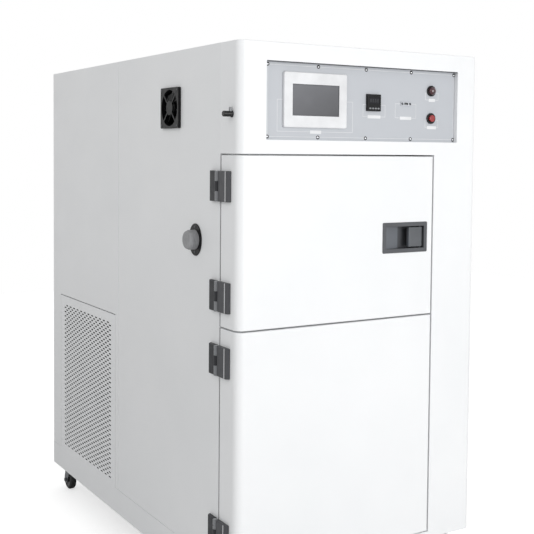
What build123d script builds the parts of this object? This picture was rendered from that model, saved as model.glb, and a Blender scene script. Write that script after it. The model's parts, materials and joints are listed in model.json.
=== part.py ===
from build123d import *
import math
import os

# Environmental test chamber: a floor-standing cabinet on four castors, with an insulated test
# space behind the upper door, an insulated cold space behind the lower door, a machine room
# at the rear and a control housing along the top of the front.
#
# All lengths are millimetres. While the pieces are drawn, x runs to the right from the left
# side face, y runs back from the front plane of the doors, and z runs up from the bottom of
# the base rail. Each piece is then moved so that the origin is the middle of the footprint,
# on the floor.

# Cabinet
cabinet_width = 835.0
cabinet_depth = 1465.0
cabinet_height = 1520.0
front_depth = 100.0
sheet = 1.5
panel_return = 20.0
bend_radius = 2.0
panel_seam = 1.5
corner_radius = 25.0
edge_radius = 3.0
side_seam_y = 812.0
fit_gap = 0.3
running_fit = 0.05

# Base frame and deck
rail_height = 82.0
rail_width = 45.0
rail_wall = 3.0
deck_thickness = 2.0

# Inner frame
tube_size = 30.0

# Front layout
column_width = 169.0
fascia_bottom = 66.0
sill_top = 86.0
control_height = 299.0
upper_door_pitch = 473.5
door_gap = 4.0
gasket_space = 7.0

# Control window
window_left = 85.0
window_right_margin = 82.0
window_top_margin = 50.0
window_height = 211.0
window_depth = 14.0
control_plate_margin = 12.0
control_plate_thickness = 3.0

# Touch screen, placed from the window's left edge and middle height
screen_from_window = 162.5
screen_rise = 4.0
screen_housing_size = (208.0, 151.0)
screen_housing_corner = 6.0
screen_size = (154.0, 86.0)
screen_glass_thickness = 3.0
screen_drop = 1.5
screen_proud = 8.5
screen_body_depth = 36.0
screen_flange = 8.0

# Temperature controller, placed between the screen and the lamp
controller_share = 0.325
controller_rise = 4.5
controller_size = 48.0
controller_edge_radius = 1.5
controller_proud = 8.0
controller_body_depth = 60.0
controller_flange = 1.5
controller_display_size = (38.0, 20.0)
controller_display_rise = 5.8
controller_display_depth = 1.2
controller_key_size = (6.0, 3.5)
controller_key_count = 4
controller_key_pitch = 9.6
controller_key_drop = 16.3
controller_key_proud = 0.6

# Data socket, placed between the screen and the lamp
socket_share = 0.733
socket_rise = 5.5
socket_plate_size = (38.0, 13.0)
socket_plate_corner = 3.0
socket_opening_size = (13.0, 6.0)
socket_opening_depth = 12.0
socket_proud = 2.0
socket_body_depth = 20.0
socket_wall = 2.5

# Alarm lamp and push button, placed from the window's right edge
device_from_window = 92.0
lamp_rise = 46.0
button_drop = 35.0
bezel_radius = 16.0
bezel_height = 4.5
bezel_edge_radius = 1.5
device_body_radius = 11.1
device_body_depth = 42.0
lamp_radius = 12.0
lamp_height = 11.0
lamp_dome_radius = 7.7
button_radius = 10.0
button_clearance = 0.15
button_height = 10.0
button_proud = 5.0
button_travel = 4.0

# Doors
door_sheet = 1.5
door_pan_step = 25.0
door_pan_clearance = 7.0
door_pan_radius = 8.0
gasket_offset = 20.0
gasket_width = 16.0
gasket_corner = 10.0
gasket_lip_radius = 2.0

# Insulated spaces
liner_sheet = 1.2
liner_left = 90.0
liner_column_gap = 76.0
liner_back = 680.0
test_space_floor_gap = 48.5
test_space_roof_gap = 50.0
cold_space_bottom = 150.0
cold_space_roof_gap = 57.5
insulation_back_cover = 100.0
insulation_roof_cover = 87.0

# Hinges
hinge_height = 83.0
hinge_inset_upper = 84.0
hinge_inset_lower = 88.0
hinge_pin_out = 9.0
hinge_pin_radius = 3.5
hinge_knuckle_radius = 6.5
hinge_leaf_thickness = 11.0
hinge_web = 7.0
door_leaf_length = 63.0
cabinet_leaf_length = 46.0
hinge_leaf_gap = 8.0
hinge_slope = 7.0
hinge_slope_foot = 4.4

# Handle tray and paddle, placed from the door's right edge and middle height
handle_from_edge = 102.0
handle_drop = 2.75
handle_size = (164.0, 89.0)
handle_proud = 2.0
handle_rim = 12.0
handle_corner = 4.0
handle_edge_radius = 1.2
handle_cut_margin = 6.0
handle_depth = 36.0
handle_back_wall = 3.0
slope_start_depth = 3.0
slope_end_depth = 14.0
finger_gap = 34.0
paddle_side_gap = 4.0
paddle_width = 49.0
paddle_pin_inset = 4.0
paddle_pin_y = 9.0
paddle_pin_radius = 2.5
paddle_boss_radius = 5.0
paddle_boss_inset = 2.0
paddle_front = 3.5
paddle_thickness = 4.0
paddle_edge_radius = 1.0
paddle_height = 58.0
paddle_lip = 3.0
paddle_lip_depth = 14.0
paddle_angle = 30.0
arm_width = 6.0
arm_height = 8.0
arm_reach = 36.0
arm_clearance = 2.0

# Latch bolt and its case
bolt_front = 39.0
bolt_thickness = 14.0
bolt_height = 20.0
bolt_tail = 26.0
bolt_nose = 3.0
bolt_bevel = 4.8
bolt_travel = 18.0
arm_window_play = 3.0
latch_case_wall = 3.0

# Exhaust fan in the left side panel
exhaust_fan_y = 402.5
exhaust_fan_drop = 166.5
exhaust_fan_size = 120.0
exhaust_fan_corner = 5.0
exhaust_fan_thickness = 38.0
exhaust_fan_proud = 9.0
exhaust_fan_flange = 3.5
exhaust_fan_bore_radius = 53.5
exhaust_fan_tip_gap = 1.5
exhaust_fan_hub_radius = 21.0
exhaust_fan_pin_radius = 3.0
exhaust_fan_plate = 3.0
exhaust_fan_strut = 5.0
exhaust_fan_end_gap = 2.0
exhaust_fan_blades = 7
exhaust_fan_pitch = 38.0
blade_thickness = 2.0
blade_root = 3.0
blade_chord_share = 1.15

# Cable port in the left side panel
port_y = 243.0
port_drop = 7.5
port_flange_size = (76.0, 92.0)
port_flange_thickness = 3.0
port_bore_radius = 25.3
port_tube_wall = 2.5
port_plug_radius = 25.0
port_plug_insert = 59.0
port_cap_radius = 28.0
port_cap_proud = 31.0
port_cap_edge_radius = 4.0
port_groove_share = 0.45
port_groove_width = 2.5
port_groove_depth = 1.5

# Latch knob on the side of the control housing
knob_y = 34.0
knob_drop = 194.0
knob_radius = 6.5
knob_edge_radius = 1.5
knob_proud = 30.5
knob_collar_radius = 10.0
knob_collar_thickness = 3.0
knob_tab_size = (9.0, 8.0)
knob_tab_height = 18.0
knob_shaft_radius = 5.0
knob_shaft_reach = 8.0
knob_cam_gap = 3.0
knob_cam_thickness = 3.0
knob_cam_side = 7.0
knob_cam_length = 30.0

# Vent panel in the left rear panel
vent_front_gap = 24.0
vent_back_margin = 85.0
vent_top_z = 676.0
vent_slot_size = (30.0, 9.0)
vent_slot_pitch = (48.0, 26.0)
vent_margin = 32.0

# Air slots in the back panel
back_slot_size = (48.0, 9.0)
back_slot_pitch = (96.0, 26.0)
back_slot_margin = 64.0

# Shelf and air duct in the test space
shelf_front = 165.0
shelf_back = 625.0
shelf_height = 164.0
shelf_sheet = 2.0
shelf_rim = 12.0
shelf_side_gap = 4.0
shelf_travel = 40.0
shelf_slot_size = (60.0, 12.0)
shelf_slot_pitch = (76.0, 28.0)
shelf_slot_margin = 20.0
shelf_rail_width = 16.0
duct_face_y = 640.0
duct_inlet_radius = 90.0
duct_inlet_slots = 9
duct_slot_size = (60.0, 8.0)
duct_slot_count = 5
duct_slot_edge = 30.0

# Circulation fan
wheel_radius = 80.0
wheel_disc = 2.0
wheel_width = 22.0
wheel_hub_wall = 8.0
wheel_blades = 12
wheel_vane_centre = 62.4
wheel_vane_length = 30.4
wheel_vane_angle = 35.0
wheel_shaft_radius = 8.0
shaft_clearance = 4.0
motor_radius = 62.0
motor_length = 130.0
motor_flange_width = 12.0
motor_flange_thickness = 6.0
motor_edge_radius = 8.0
motor_bearing_depth = 40.0
heater_ring_radius = 108.0
heater_ring_offset = 8.0
heater_rod_radius = 4.0
heater_terminal_radius = 3.5

# Finned coils
fin_thickness = 2.0
coil_tube_radius = 6.0
coil_tube_rows = 5

# Refrigeration in the cold space and machine room
evaporator_depth = 70.0
evaporator_margin = 20.0
evaporator_head_gap = 240.0
evaporator_fins = 16
compressor_radius = 95.0
compressor_height = 300.0
compressor_foot = 6.0
compressor_dome_radius = 57.0
compressor_base_radius = 19.0
compressor_from_right = 235.0
compressor_from_back = 285.0
condenser_left = 40.0
condenser_thickness = 60.0
condenser_front = 880.0
condenser_back_margin = 125.0
condenser_top = 560.0
condenser_fins = 12
condenser_fan_margin = 65.0
condenser_fan_clearance = 5.0
condenser_fan_side_gap = 6.0
condenser_fan_hub_radius = 45.0
condenser_fan_pin_radius = 5.0
condenser_fan_blades = 5
condenser_fan_pitch = 32.0
condenser_fan_width = 36.0
condenser_motor_radius = 40.0
condenser_motor_length = 60.0
condenser_bracket_width = 40.0
condenser_bracket_thickness = 5.0

# Electrical plate above the insulation
electrical_plate_front = 500.0
electrical_plate_thickness = 2.0
electrical_device_size = (45.0, 60.0, 80.0)
electrical_device_count = 6

# Castors
castor_height = 104.0
castor_wheel_radius = 37.5
castor_wheel_width = 26.0
castor_wheel_edge_radius = 4.0
castor_dish_radius = 25.5
castor_dish_depth = 3.0
castor_boss_radius = 10.0
castor_side_inset = 53.0
castor_end_inset = 65.0
castor_plate_size = (64.0, 90.0)
castor_plate_corner = 6.0
castor_plate_thickness = 4.0
castor_race_radius = 24.0
castor_race_height = 9.0
castor_fork_offset = 24.0
castor_fork_wall = 3.0
castor_fork_foot = 10.0
castor_fork_taper = 6.0
castor_fork_clearance = 2.5
castor_axle_radius = 5.0
castor_axle_end = 2.0
kingpin_radius = 6.0
kingpin_head_radius = 10.0
kingpin_head_height = 3.0

# Length by which a cutting shape runs past what it cuts, and a joined one sinks in
past = 1.0

# Sizes worked out from the ones above
column_x = cabinet_width - column_width
door_depth = front_depth - gasket_space
door_right = column_x - door_gap
control_bottom = cabinet_height - control_height
door_split_z = control_bottom - upper_door_pitch
upper_door_bottom = door_split_z + door_gap / 2
upper_door_top = control_bottom - door_gap
lower_door_bottom = sill_top + door_gap / 2
lower_door_top = door_split_z - door_gap / 2
deck_z = rail_height + deck_thickness
inside_right = cabinet_width - panel_return
inside_back = cabinet_depth - panel_return
inside_top = cabinet_height - panel_return
flange_right = column_x - 2 * sheet
control_face_y = window_depth
window_right = cabinet_width - window_right_margin
window_top = cabinet_height - window_top_margin
window_bottom = window_top - window_height
window_middle_z = (window_bottom + window_top) / 2
screen_centre = (window_left + screen_from_window, window_middle_z + screen_rise)
device_x = window_right - device_from_window
screen_right = screen_centre[0] + screen_housing_size[0] / 2
free_width = device_x - bezel_radius - screen_right
controller_centre = (screen_right + controller_share * free_width, window_middle_z + controller_rise)
socket_centre = (screen_right + socket_share * free_width, window_middle_z + socket_rise)
lamp_centre = (device_x, window_middle_z + lamp_rise)
button_centre = (device_x, window_middle_z - button_drop)
liner_right = column_x - liner_column_gap
test_space_bottom = door_split_z + test_space_floor_gap
test_space_top = control_bottom - test_space_roof_gap
cold_space_top = door_split_z - cold_space_roof_gap
insulation_back = liner_back + insulation_back_cover
insulation_top = test_space_top + insulation_roof_cover
fan_mid_x = (liner_left + liner_right) / 2
fan_mid_z = (test_space_bottom + test_space_top) / 2
wheel_mid_y = (duct_face_y + liner_sheet + liner_back) / 2
shelf_z = test_space_bottom + shelf_height
handle_centre = (door_right - handle_from_edge, (upper_door_bottom + upper_door_top) / 2 - handle_drop)
handle_left_in = handle_centre[0] - handle_size[0] / 2 + handle_rim
handle_right_in = handle_centre[0] + handle_size[0] / 2 - handle_rim
handle_pocket_z = (
    handle_centre[1] - handle_size[1] / 2 + handle_rim,
    handle_centre[1] + handle_size[1] / 2 - handle_rim,
)
paddle_right = handle_right_in - paddle_side_gap
paddle_left = paddle_right - paddle_width
paddle_pin_x = paddle_right - paddle_pin_inset
slot_left = paddle_left - finger_gap
bolt_left = paddle_pin_x - bolt_tail
bolt_mid_z = handle_centre[1]
exhaust_fan_centre = (exhaust_fan_y, cabinet_height - exhaust_fan_drop)
port_centre = (port_y, fan_mid_z - port_drop)
knob_place = (knob_y, cabinet_height - knob_drop)
vent_front_y = side_seam_y + vent_front_gap
vent_back_y = cabinet_depth - vent_back_margin
evaporator_top = cold_space_top - evaporator_head_gap
compressor_place = (cabinet_width - compressor_from_right, cabinet_depth - compressor_from_back)
condenser_back = cabinet_depth - condenser_back_margin
condenser_fan_radius = (condenser_back - condenser_front) / 2 - condenser_fan_margin
origin_shift = (
    (port_cap_proud - cabinet_width) / 2,
    -cabinet_depth / 2,
    castor_height,
)


def block(x, y, z):
    """A rectangular block between pairs of limits along the three axes."""
    centre = [(low + high) / 2 for low, high in (x, y, z)]
    sides = [high - low for low, high in (x, y, z)]
    return Pos(*centre) * Box(*sides)


def bar(start, direction, radius, length):
    """A round bar from a starting point along a direction."""
    along = Plane(origin=start, z_dir=direction)
    return along.location * Cylinder(radius, length, align=(Align.CENTER, Align.CENTER, Align.MIN))


def about(centre, half):
    """The limits of a length that lies evenly about its middle."""
    return (centre - half, centre + half)


def column(points, z):
    """A prism with a plan outline of x, y points, between two heights."""
    outline = Polyline(*points, close=True)
    return Pos(0, 0, z[0]) * extrude(make_face(outline), z[1] - z[0])


def side_opening(place, size, x):
    """A cutting block through the left side, about a y, z place."""
    return block(x, about(place[0], size[0] / 2), about(place[1], size[1] / 2))


def folded_sheet(x, y, z, open_axis, open_end, wall=sheet):
    """A sheet tray: a flat face with four returns, open towards one end of one axis."""
    inner = []
    for axis, (low, high) in zip("xyz", (x, y, z)):
        if axis != open_axis:
            inner.append((low + wall, high - wall))
        elif open_end > 0:
            inner.append((low + wall, high + wall))
        else:
            inner.append((low - wall, high - wall))
    outer = block(x, y, z)
    face_level = {"x": x, "y": y, "z": z}[open_axis][0 if open_end > 0 else 1]
    axis = {"x": Axis.X, "y": Axis.Y, "z": Axis.Z}[open_axis]
    face_edges = outer.faces().filter_by_position(axis, face_level - wall / 2, face_level + wall / 2).edges()
    return fillet(face_edges, bend_radius) - block(*inner)


def save(node, *solids):
    """Write one node, moved from the drawing corner to the origin on the floor."""
    moved = [solid.moved(Location(origin_shift)) for shape in solids for solid in shape.solids()]
    shape = moved[0] if len(moved) == 1 else Compound(children=moved)
    export_step(shape, os.path.join("parts", node + ".step"))


def slot_sketch(width, height, slot, pitch, margin):
    """Two staggered grids of slots, centred in a field, as one sketch."""
    columns = int((width - 2 * margin - slot[0]) // pitch[0]) + 1
    rows = int((height - 2 * margin - slot[1]) // pitch[1]) + 1
    half_rows = max(rows - 1, 1)
    slots = [loc * Rectangle(*slot) for loc in GridLocations(pitch[0], pitch[1], columns, rows)]
    between = GridLocations(pitch[0], pitch[1], max(columns - 1, 1), half_rows)
    return slots + [loc * Rectangle(*slot) for loc in between]


# Base and body

def base_frame():
    """Channel rails and cross members under a deck sheet, as one welded base."""
    front = front_depth
    back = cabinet_depth

    def channel(x, y, open_axis, open_end):
        solid = block(x, y, (0, rail_height))
        grow = rail_wall * open_end
        inner_x = (x[0] + rail_wall, x[1] - rail_wall)
        inner_y = (y[0] + rail_wall, y[1] - rail_wall)
        if open_axis == "x":
            inner_x = (inner_x[0] + grow, inner_x[1] + grow)
            inner_y = (y[0] - past, y[1] + past)
        else:
            inner_y = (inner_y[0] + grow, inner_y[1] + grow)
            inner_x = (x[0] - past, x[1] + past)
        return solid - block(inner_x, inner_y, (rail_wall, rail_height - rail_wall))

    rails = [
        channel((0, rail_width), (front, back), "x", 1),
        channel((cabinet_width - rail_width, cabinet_width), (front, back), "x", -1),
    ]
    cross = (rail_width, cabinet_width - rail_width)
    rails.append(channel(cross, (front, front + rail_width), "y", 1))
    rails.append(channel(cross, (back - rail_width, back), "y", -1))
    for middle in (insulation_back, (insulation_back + back) / 2):
        rails.append(channel(cross, about(middle, rail_width / 2), "y", 1))
    deck = block(
        (panel_return + fit_gap, inside_right - fit_gap),
        (front, inside_back - fit_gap),
        (rail_height, deck_z),
    )
    return rails + [deck]


def body_frame():
    """Square tubes: four uprights from the deck and a ring of rails under the top panel."""
    left = (panel_return, panel_return + tube_size)
    right = (inside_right - tube_size, inside_right)
    middle = (insulation_back + fit_gap, insulation_back + fit_gap + tube_size)
    rear = (inside_back - tube_size, inside_back)
    top = (inside_top - tube_size, inside_top)

    def tube(x, y, z, along):
        grow = [-sheet, -sheet, -sheet]
        grow[along] = past
        limits = [(low - extra, high + extra) for (low, high), extra in zip((x, y, z), grow)]
        return block(x, y, z) - block(*limits)

    bars = [tube(x, y, (deck_z, top[0]), 2) for x in (left, right) for y in (middle, rear)]
    bars += [tube(x, (front_depth + fit_gap, inside_back), top, 1) for x in (left, right)]
    across = (left[1], right[0])
    bars += [tube(across, y, top, 0) for y in (middle, rear)]
    return bars


def left_side_panel():
    """Front part of the left side, with the fan opening and the cable port hole."""
    panel = folded_sheet(
        (0, panel_return), (front_depth, side_seam_y), (rail_height, cabinet_height), "x", 1
    )
    fan_body = exhaust_fan_size - 2 * exhaust_fan_flange + 2 * fit_gap
    through = (-past, panel_return + past)
    panel -= side_opening(exhaust_fan_centre, (fan_body, fan_body), through)
    hole = port_bore_radius + port_tube_wall + fit_gap
    return panel - bar((-past, *port_centre), (1, 0, 0), hole, panel_return + 2 * past)


def right_side_panel():
    """Front part of the right side."""
    return folded_sheet(
        (inside_right, cabinet_width),
        (front_depth, side_seam_y),
        (rail_height, cabinet_height),
        "x",
        -1,
    )


def rear_side_panel(x, open_end):
    """Rear part of one side."""
    y = (side_seam_y + panel_seam, cabinet_depth)
    return folded_sheet(x, y, (rail_height, cabinet_height), "x", open_end)


def left_rear_panel():
    """Rear part of the left side, open below where the vent panel stands."""
    panel = rear_side_panel((0, panel_return), 1)
    y = (vent_front_y, vent_back_y)
    clear = block((-past, panel_return + past), y, (rail_height - past, vent_top_z))
    frame = block(
        (0, panel_return),
        (y[0] - sheet, y[1] + sheet),
        (rail_height, vent_top_z + sheet),
    )
    return panel + frame - clear


def left_vent_panel():
    """Lift-out panel with staggered air slots, seated in the left rear panel."""
    y = (vent_front_y + panel_seam, vent_back_y - panel_seam)
    z = (rail_height, vent_top_z - 2 * panel_seam)
    panel = folded_sheet((0, panel_return), y, z, "x", 1)
    width = y[1] - y[0]
    height = z[1] - z[0]
    face = Plane(
        origin=(-past, (y[0] + y[1]) / 2, (z[0] + z[1]) / 2), x_dir=(0, 1, 0), z_dir=(1, 0, 0)
    )
    slots = slot_sketch(width, height, vent_slot_size, vent_slot_pitch, vent_margin)
    cutters = [extrude(face.location * slot, sheet + 2 * past) for slot in slots]
    return panel - cutters


def back_panel():
    """Rear sheet between the two sides, with air slots low down."""
    x = (panel_return + fit_gap, inside_right - fit_gap)
    z = (rail_height, inside_top - fit_gap)
    panel = folded_sheet(x, (inside_back, cabinet_depth), z, "y", -1)
    face = Plane(
        origin=((x[0] + x[1]) / 2, cabinet_depth - 2 * sheet, (condenser_top + deck_z) / 2),
        x_dir=(-1, 0, 0),
        z_dir=(0, 1, 0),
    )
    height = condenser_top - deck_z
    slots = slot_sketch(x[1] - x[0], height, back_slot_size, back_slot_pitch, back_slot_margin)
    cutters = [extrude(face.location * slot, 3 * sheet) for slot in slots]
    return panel - cutters


def top_panel():
    """Lid between the side panels, behind the control housing."""
    return folded_sheet(
        (panel_return + fit_gap, inside_right - fit_gap),
        (front_depth + fit_gap, cabinet_depth),
        (inside_top, cabinet_height),
        "z",
        -1,
    )


# Front fascia and control panel

def fascia_solid(inset):
    """The fascia's outline: housing on top, column on the right and sill below the doors."""
    radius = corner_radius - inset
    whole = block(
        (inset, cabinet_width - inset),
        (inset, front_depth),
        (fascia_bottom + inset, cabinet_height - inset),
    )
    front_edges = whole.edges().filter_by(Axis.Z).group_by(Axis.Y)[0]
    whole = fillet(front_edges, radius)
    doors = block(
        (-past, column_x + inset),
        (-past, front_depth + past),
        (sill_top - inset, control_bottom + inset),
    )
    return whole - doors


def front_fascia():
    """Folded and welded front, open at the back, with the window of the control panel."""
    outer = fascia_solid(0.0)
    top_edge = outer.edges().filter_by(Axis.X).group_by(Axis.Z)[-1].sort_by(Axis.Y)[0]
    outer = fillet(top_edge, edge_radius)
    right = cabinet_width - sheet
    low = fascia_bottom + sheet
    rear = (front_depth - sheet, front_depth + past)
    hollow = fascia_solid(sheet)
    hollow += block((sheet, right), rear, (control_bottom + sheet, cabinet_height - sheet))
    hollow += block((column_x + sheet, right), rear, (low, control_bottom + 2 * sheet))
    hollow += block((sheet, column_x + 2 * sheet), rear, (low, sill_top - sheet))
    fascia = outer - hollow
    fascia += block(
        (window_left - sheet, window_right + sheet),
        (sheet / 2, window_depth),
        (window_bottom - sheet, window_top + sheet),
    )
    fascia -= block(
        (window_left, window_right), (-past, window_depth + past), (window_bottom, window_top)
    )
    knob_hole = knob_shaft_radius + running_fit
    return fascia - bar((-past, *knob_place), (1, 0, 0), knob_hole, sheet + 2 * past)


def on_panel(centre, size, y):
    """A block about a device's centre in the control panel."""
    return block(about(centre[0], size[0] / 2), y, about(centre[1], size[1] / 2))


def control_panel():
    """Grey plate behind the window, cut out for the devices that it carries."""
    margin = control_plate_margin
    back = control_face_y + control_plate_thickness
    plate = block(
        (window_left - margin, window_right + margin),
        (control_face_y, back),
        (window_bottom - margin, window_top + margin),
    )
    through = (control_face_y - past, back + past)
    plate -= on_panel(screen_centre, screen_cutout(), through)
    plate -= on_panel(controller_centre, controller_cutout(), through)
    plate -= on_panel(socket_centre, socket_cutout(), through)
    hole = device_body_radius + fit_gap
    for x, z in (lamp_centre, button_centre):
        plate -= bar((x, through[0], z), (0, 1, 0), hole, through[1] - through[0])
    return plate


def screen_cutout():
    """Hole in the control panel for the touch screen's body."""
    return [side - 2 * screen_flange for side in screen_housing_size]


def controller_cutout():
    """Hole in the control panel for the temperature controller's body."""
    side = controller_size - 2 * controller_flange
    return (side, side)


def socket_cutout():
    """Hole in the control panel for the data socket's body."""
    return [side + 2 * socket_wall for side in socket_opening_size]


def device_body(centre, cutout, depth):
    """The part of a device that passes through its hole in the control panel."""
    size = [side - fit_gap for side in cutout]
    return on_panel(centre, size, (control_face_y - past, control_face_y + depth))


def screen_housing():
    """Moulded bezel and body of the touch screen."""
    front = control_face_y - screen_proud
    bezel = on_panel(screen_centre, screen_housing_size, (front, control_face_y))
    bezel = fillet(bezel.edges().filter_by(Axis.Y), screen_housing_corner)
    bezel = fillet(bezel.faces().sort_by(Axis.Y)[0].edges(), edge_radius)
    recess = (front - past, front + screen_drop + screen_glass_thickness)
    body = device_body(screen_centre, screen_cutout(), screen_body_depth)
    return bezel + body - on_panel(screen_centre, screen_size, recess)


def screen():
    """Glass of the touch screen, seated in the bezel."""
    front = control_face_y - screen_proud + screen_drop
    return on_panel(screen_centre, screen_size, (front, front + screen_glass_thickness))


def temperature_controller():
    """Square over-temperature controller with a display window and four key caps."""
    x, z = controller_centre
    front = control_face_y - controller_proud
    bezel = on_panel((x, z), (controller_size, controller_size), (front, control_face_y))
    bezel = fillet(bezel.faces().sort_by(Axis.Y)[0].edges(), controller_edge_radius)
    display = (front - past, front + controller_display_depth)
    bezel -= on_panel((x, z + controller_display_rise), controller_display_size, display)
    shape = bezel + device_body((x, z), controller_cutout(), controller_body_depth)
    key_y = (front - controller_key_proud, front + past)
    for index in range(controller_key_count):
        key_x = x + (index - (controller_key_count - 1) / 2) * controller_key_pitch
        shape += on_panel((key_x, z - controller_key_drop), controller_key_size, key_y)
    return shape


def data_socket():
    """Small data socket with its fixing plate."""
    front = control_face_y - socket_proud
    plate = on_panel(socket_centre, socket_plate_size, (front, control_face_y))
    plate = fillet(plate.edges().filter_by(Axis.Y), socket_plate_corner)
    body = device_body(socket_centre, socket_cutout(), socket_body_depth)
    mouth = (front - past, front + socket_opening_depth)
    return plate + body - on_panel(socket_centre, socket_opening_size, mouth)


def bezel(centre, solid_body):
    """Ring and threaded body of a panel device."""
    start = (centre[0], control_face_y, centre[1])
    ring = bar(start, (0, -1, 0), bezel_radius, bezel_height)
    ring = fillet(ring.edges().sort_by(Axis.Y)[0], bezel_edge_radius)
    ring += bar(start, (0, 1, 0), device_body_radius, device_body_depth)
    if solid_body:
        return ring
    bore = button_radius + button_clearance
    mouth = (centre[0], control_face_y - bezel_height - past, centre[1])
    return ring - bar(mouth, (0, 1, 0), bore, button_travel + button_height + past)


def alarm_lamp():
    """Red domed lens of the alarm lamp."""
    face = control_face_y - bezel_height
    start = (lamp_centre[0], face, lamp_centre[1])
    lens = bar(start, (0, -1, 0), lamp_radius, lamp_height)
    return fillet(lens.edges().sort_by(Axis.Y)[0], lamp_dome_radius)


def power_button():
    """Red push button that slides in its ring."""
    front = control_face_y - bezel_height - button_proud
    start = (button_centre[0], front, button_centre[1])
    cap = bar(start, (0, 1, 0), button_radius, button_height)
    return fillet(cap.edges().sort_by(Axis.Y)[0], bezel_edge_radius)


# Doors

def door_shell(z, handle):
    """Painted outer shell of a door, open at the back."""

    def form(inset, back):
        solid = block((inset, door_right - inset), (inset, back), (z[0] + inset, z[1] - inset))
        left_edge = solid.edges().filter_by(Axis.Z).group_by(Axis.Y)[0].sort_by(Axis.X)[0]
        return fillet(left_edge, corner_radius - inset)

    outer = form(0.0, door_depth)
    front_loop = outer.faces().sort_by(Axis.Y)[0].edges()
    soft = [edge for edge in front_loop if edge.center().X > corner_radius + past]
    outer = fillet(soft, edge_radius)
    shell = outer - form(door_sheet, door_depth + past)
    if handle:
        size = [side - 2 * handle_cut_margin + 2 * fit_gap for side in handle_size]
        shell -= on_panel(handle_centre, size, (-past, 2 * door_sheet))
        shell -= block(
            (door_right - 2 * door_sheet, door_right + past),
            (bolt_front - fit_gap, bolt_front + bolt_thickness + fit_gap),
            about(bolt_mid_z, bolt_height / 2 + fit_gap),
        )
    return shell


def door_inner_panel(z, opening):
    """Stainless pan that closes a door's back and steps into the liner's mouth."""
    inset = door_sheet + fit_gap
    pan = block(
        (inset, door_right - inset),
        (door_depth - liner_sheet, door_depth),
        (z[0] + inset, z[1] - inset),
    )
    clear = door_pan_clearance
    back = door_depth + door_pan_step
    x = (liner_left + clear, liner_right - clear)
    step_z = (opening[0] + clear, opening[1] - clear)
    step = block(x, (door_depth - liner_sheet, back), step_z)
    step = fillet(step.faces().sort_by(Axis.Y)[-1].edges(), door_pan_radius)
    wall = liner_sheet
    hollow = block(
        (x[0] + wall, x[1] - wall),
        (door_depth - 2 * wall, back - wall),
        (step_z[0] + wall, step_z[1] - wall),
    )
    hollow = fillet(hollow.faces().sort_by(Axis.Y)[-1].edges(), door_pan_radius - wall)
    return pan + step - hollow


def door_gasket(opening):
    """Rubber seal around a door's step, just clear of the liner's flange."""
    offset = gasket_offset
    width = gasket_width / 2

    def ring(extra, y):
        return block(
            (liner_left - offset - extra, liner_right + offset + extra),
            y,
            (opening[0] - offset - extra, opening[1] + offset + extra),
        )

    y = (door_depth, front_depth - fit_gap)
    outer = fillet(ring(width, y).edges().filter_by(Axis.Y), gasket_corner)
    seal = outer - ring(-width, (y[0] - past, y[1] + past))
    return fillet(seal.faces().sort_by(Axis.Y)[-1].edges(), gasket_lip_radius)


# Hinges

def knuckle_spans(middle):
    """The heights of the three knuckles of one hinge, from bottom to top."""
    third = hinge_height / 3
    bottom = middle - hinge_height / 2
    return [(bottom + third * index, bottom + third * (index + 1)) for index in range(3)]


def hinge_leaf(y_near, y_far, z):
    """A leaf block beside the pin, sloped at its far end."""
    slope = hinge_slope if y_far > y_near else -hinge_slope
    out = -hinge_leaf_thickness
    foot = -hinge_slope_foot
    points = [(0, y_near), (out, y_near), (out, y_far - slope), (foot, y_far), (0, y_far)]
    return column(points, z)


def hinge_half(middle, towards, length, spans, bore):
    """One half of a hinge: its leaf, and knuckles on some of the spans."""
    pin_y = front_depth
    z = (middle - hinge_height / 2, middle + hinge_height / 2)
    near = pin_y + towards * hinge_leaf_gap
    half = hinge_leaf(near, pin_y + towards * length, z)
    web = sorted((pin_y, near + towards * past))
    web_out = (-hinge_leaf_thickness, hinge_web - hinge_leaf_thickness)
    for low, high in spans:
        span = (low + fit_gap / 2, high - fit_gap / 2)
        height = span[1] - span[0]
        half += block(web_out, web, span)
        half += bar((-hinge_pin_out, pin_y, span[0]), (0, 0, 1), hinge_knuckle_radius, height)
        if bore:
            hole = hinge_pin_radius + running_fit
            start = (-hinge_pin_out, pin_y, span[0] - past)
            half -= bar(start, (0, 0, 1), hole, height + 2 * past)
    return half


def hinge_middles(z, inset):
    """The heights of a door's two hinges."""
    return (z[0] + inset, z[1] - inset)


def door_hinge_leaves(z, inset):
    """The two hinge halves that turn with a door."""
    leaves = []
    for middle in hinge_middles(z, inset):
        spans = knuckle_spans(middle)
        leaves.append(hinge_half(middle, -1, door_leaf_length, (spans[0], spans[2]), True))
    return leaves


def cabinet_hinge_leaves():
    """The four hinge halves on the cabinet, each with its fixed pin."""
    leaves = []
    doors = (
        ((upper_door_bottom, upper_door_top), hinge_inset_upper),
        ((lower_door_bottom, lower_door_top), hinge_inset_lower),
    )
    for z, inset in doors:
        for middle in hinge_middles(z, inset):
            spans = knuckle_spans(middle)
            half = hinge_half(middle, 1, cabinet_leaf_length, (spans[1],), False)
            start = (-hinge_pin_out, front_depth, middle - hinge_height / 2)
            leaves.append(half + bar(start, (0, 0, 1), hinge_pin_radius, hinge_height))
    return leaves


# Handle and latch

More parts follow.
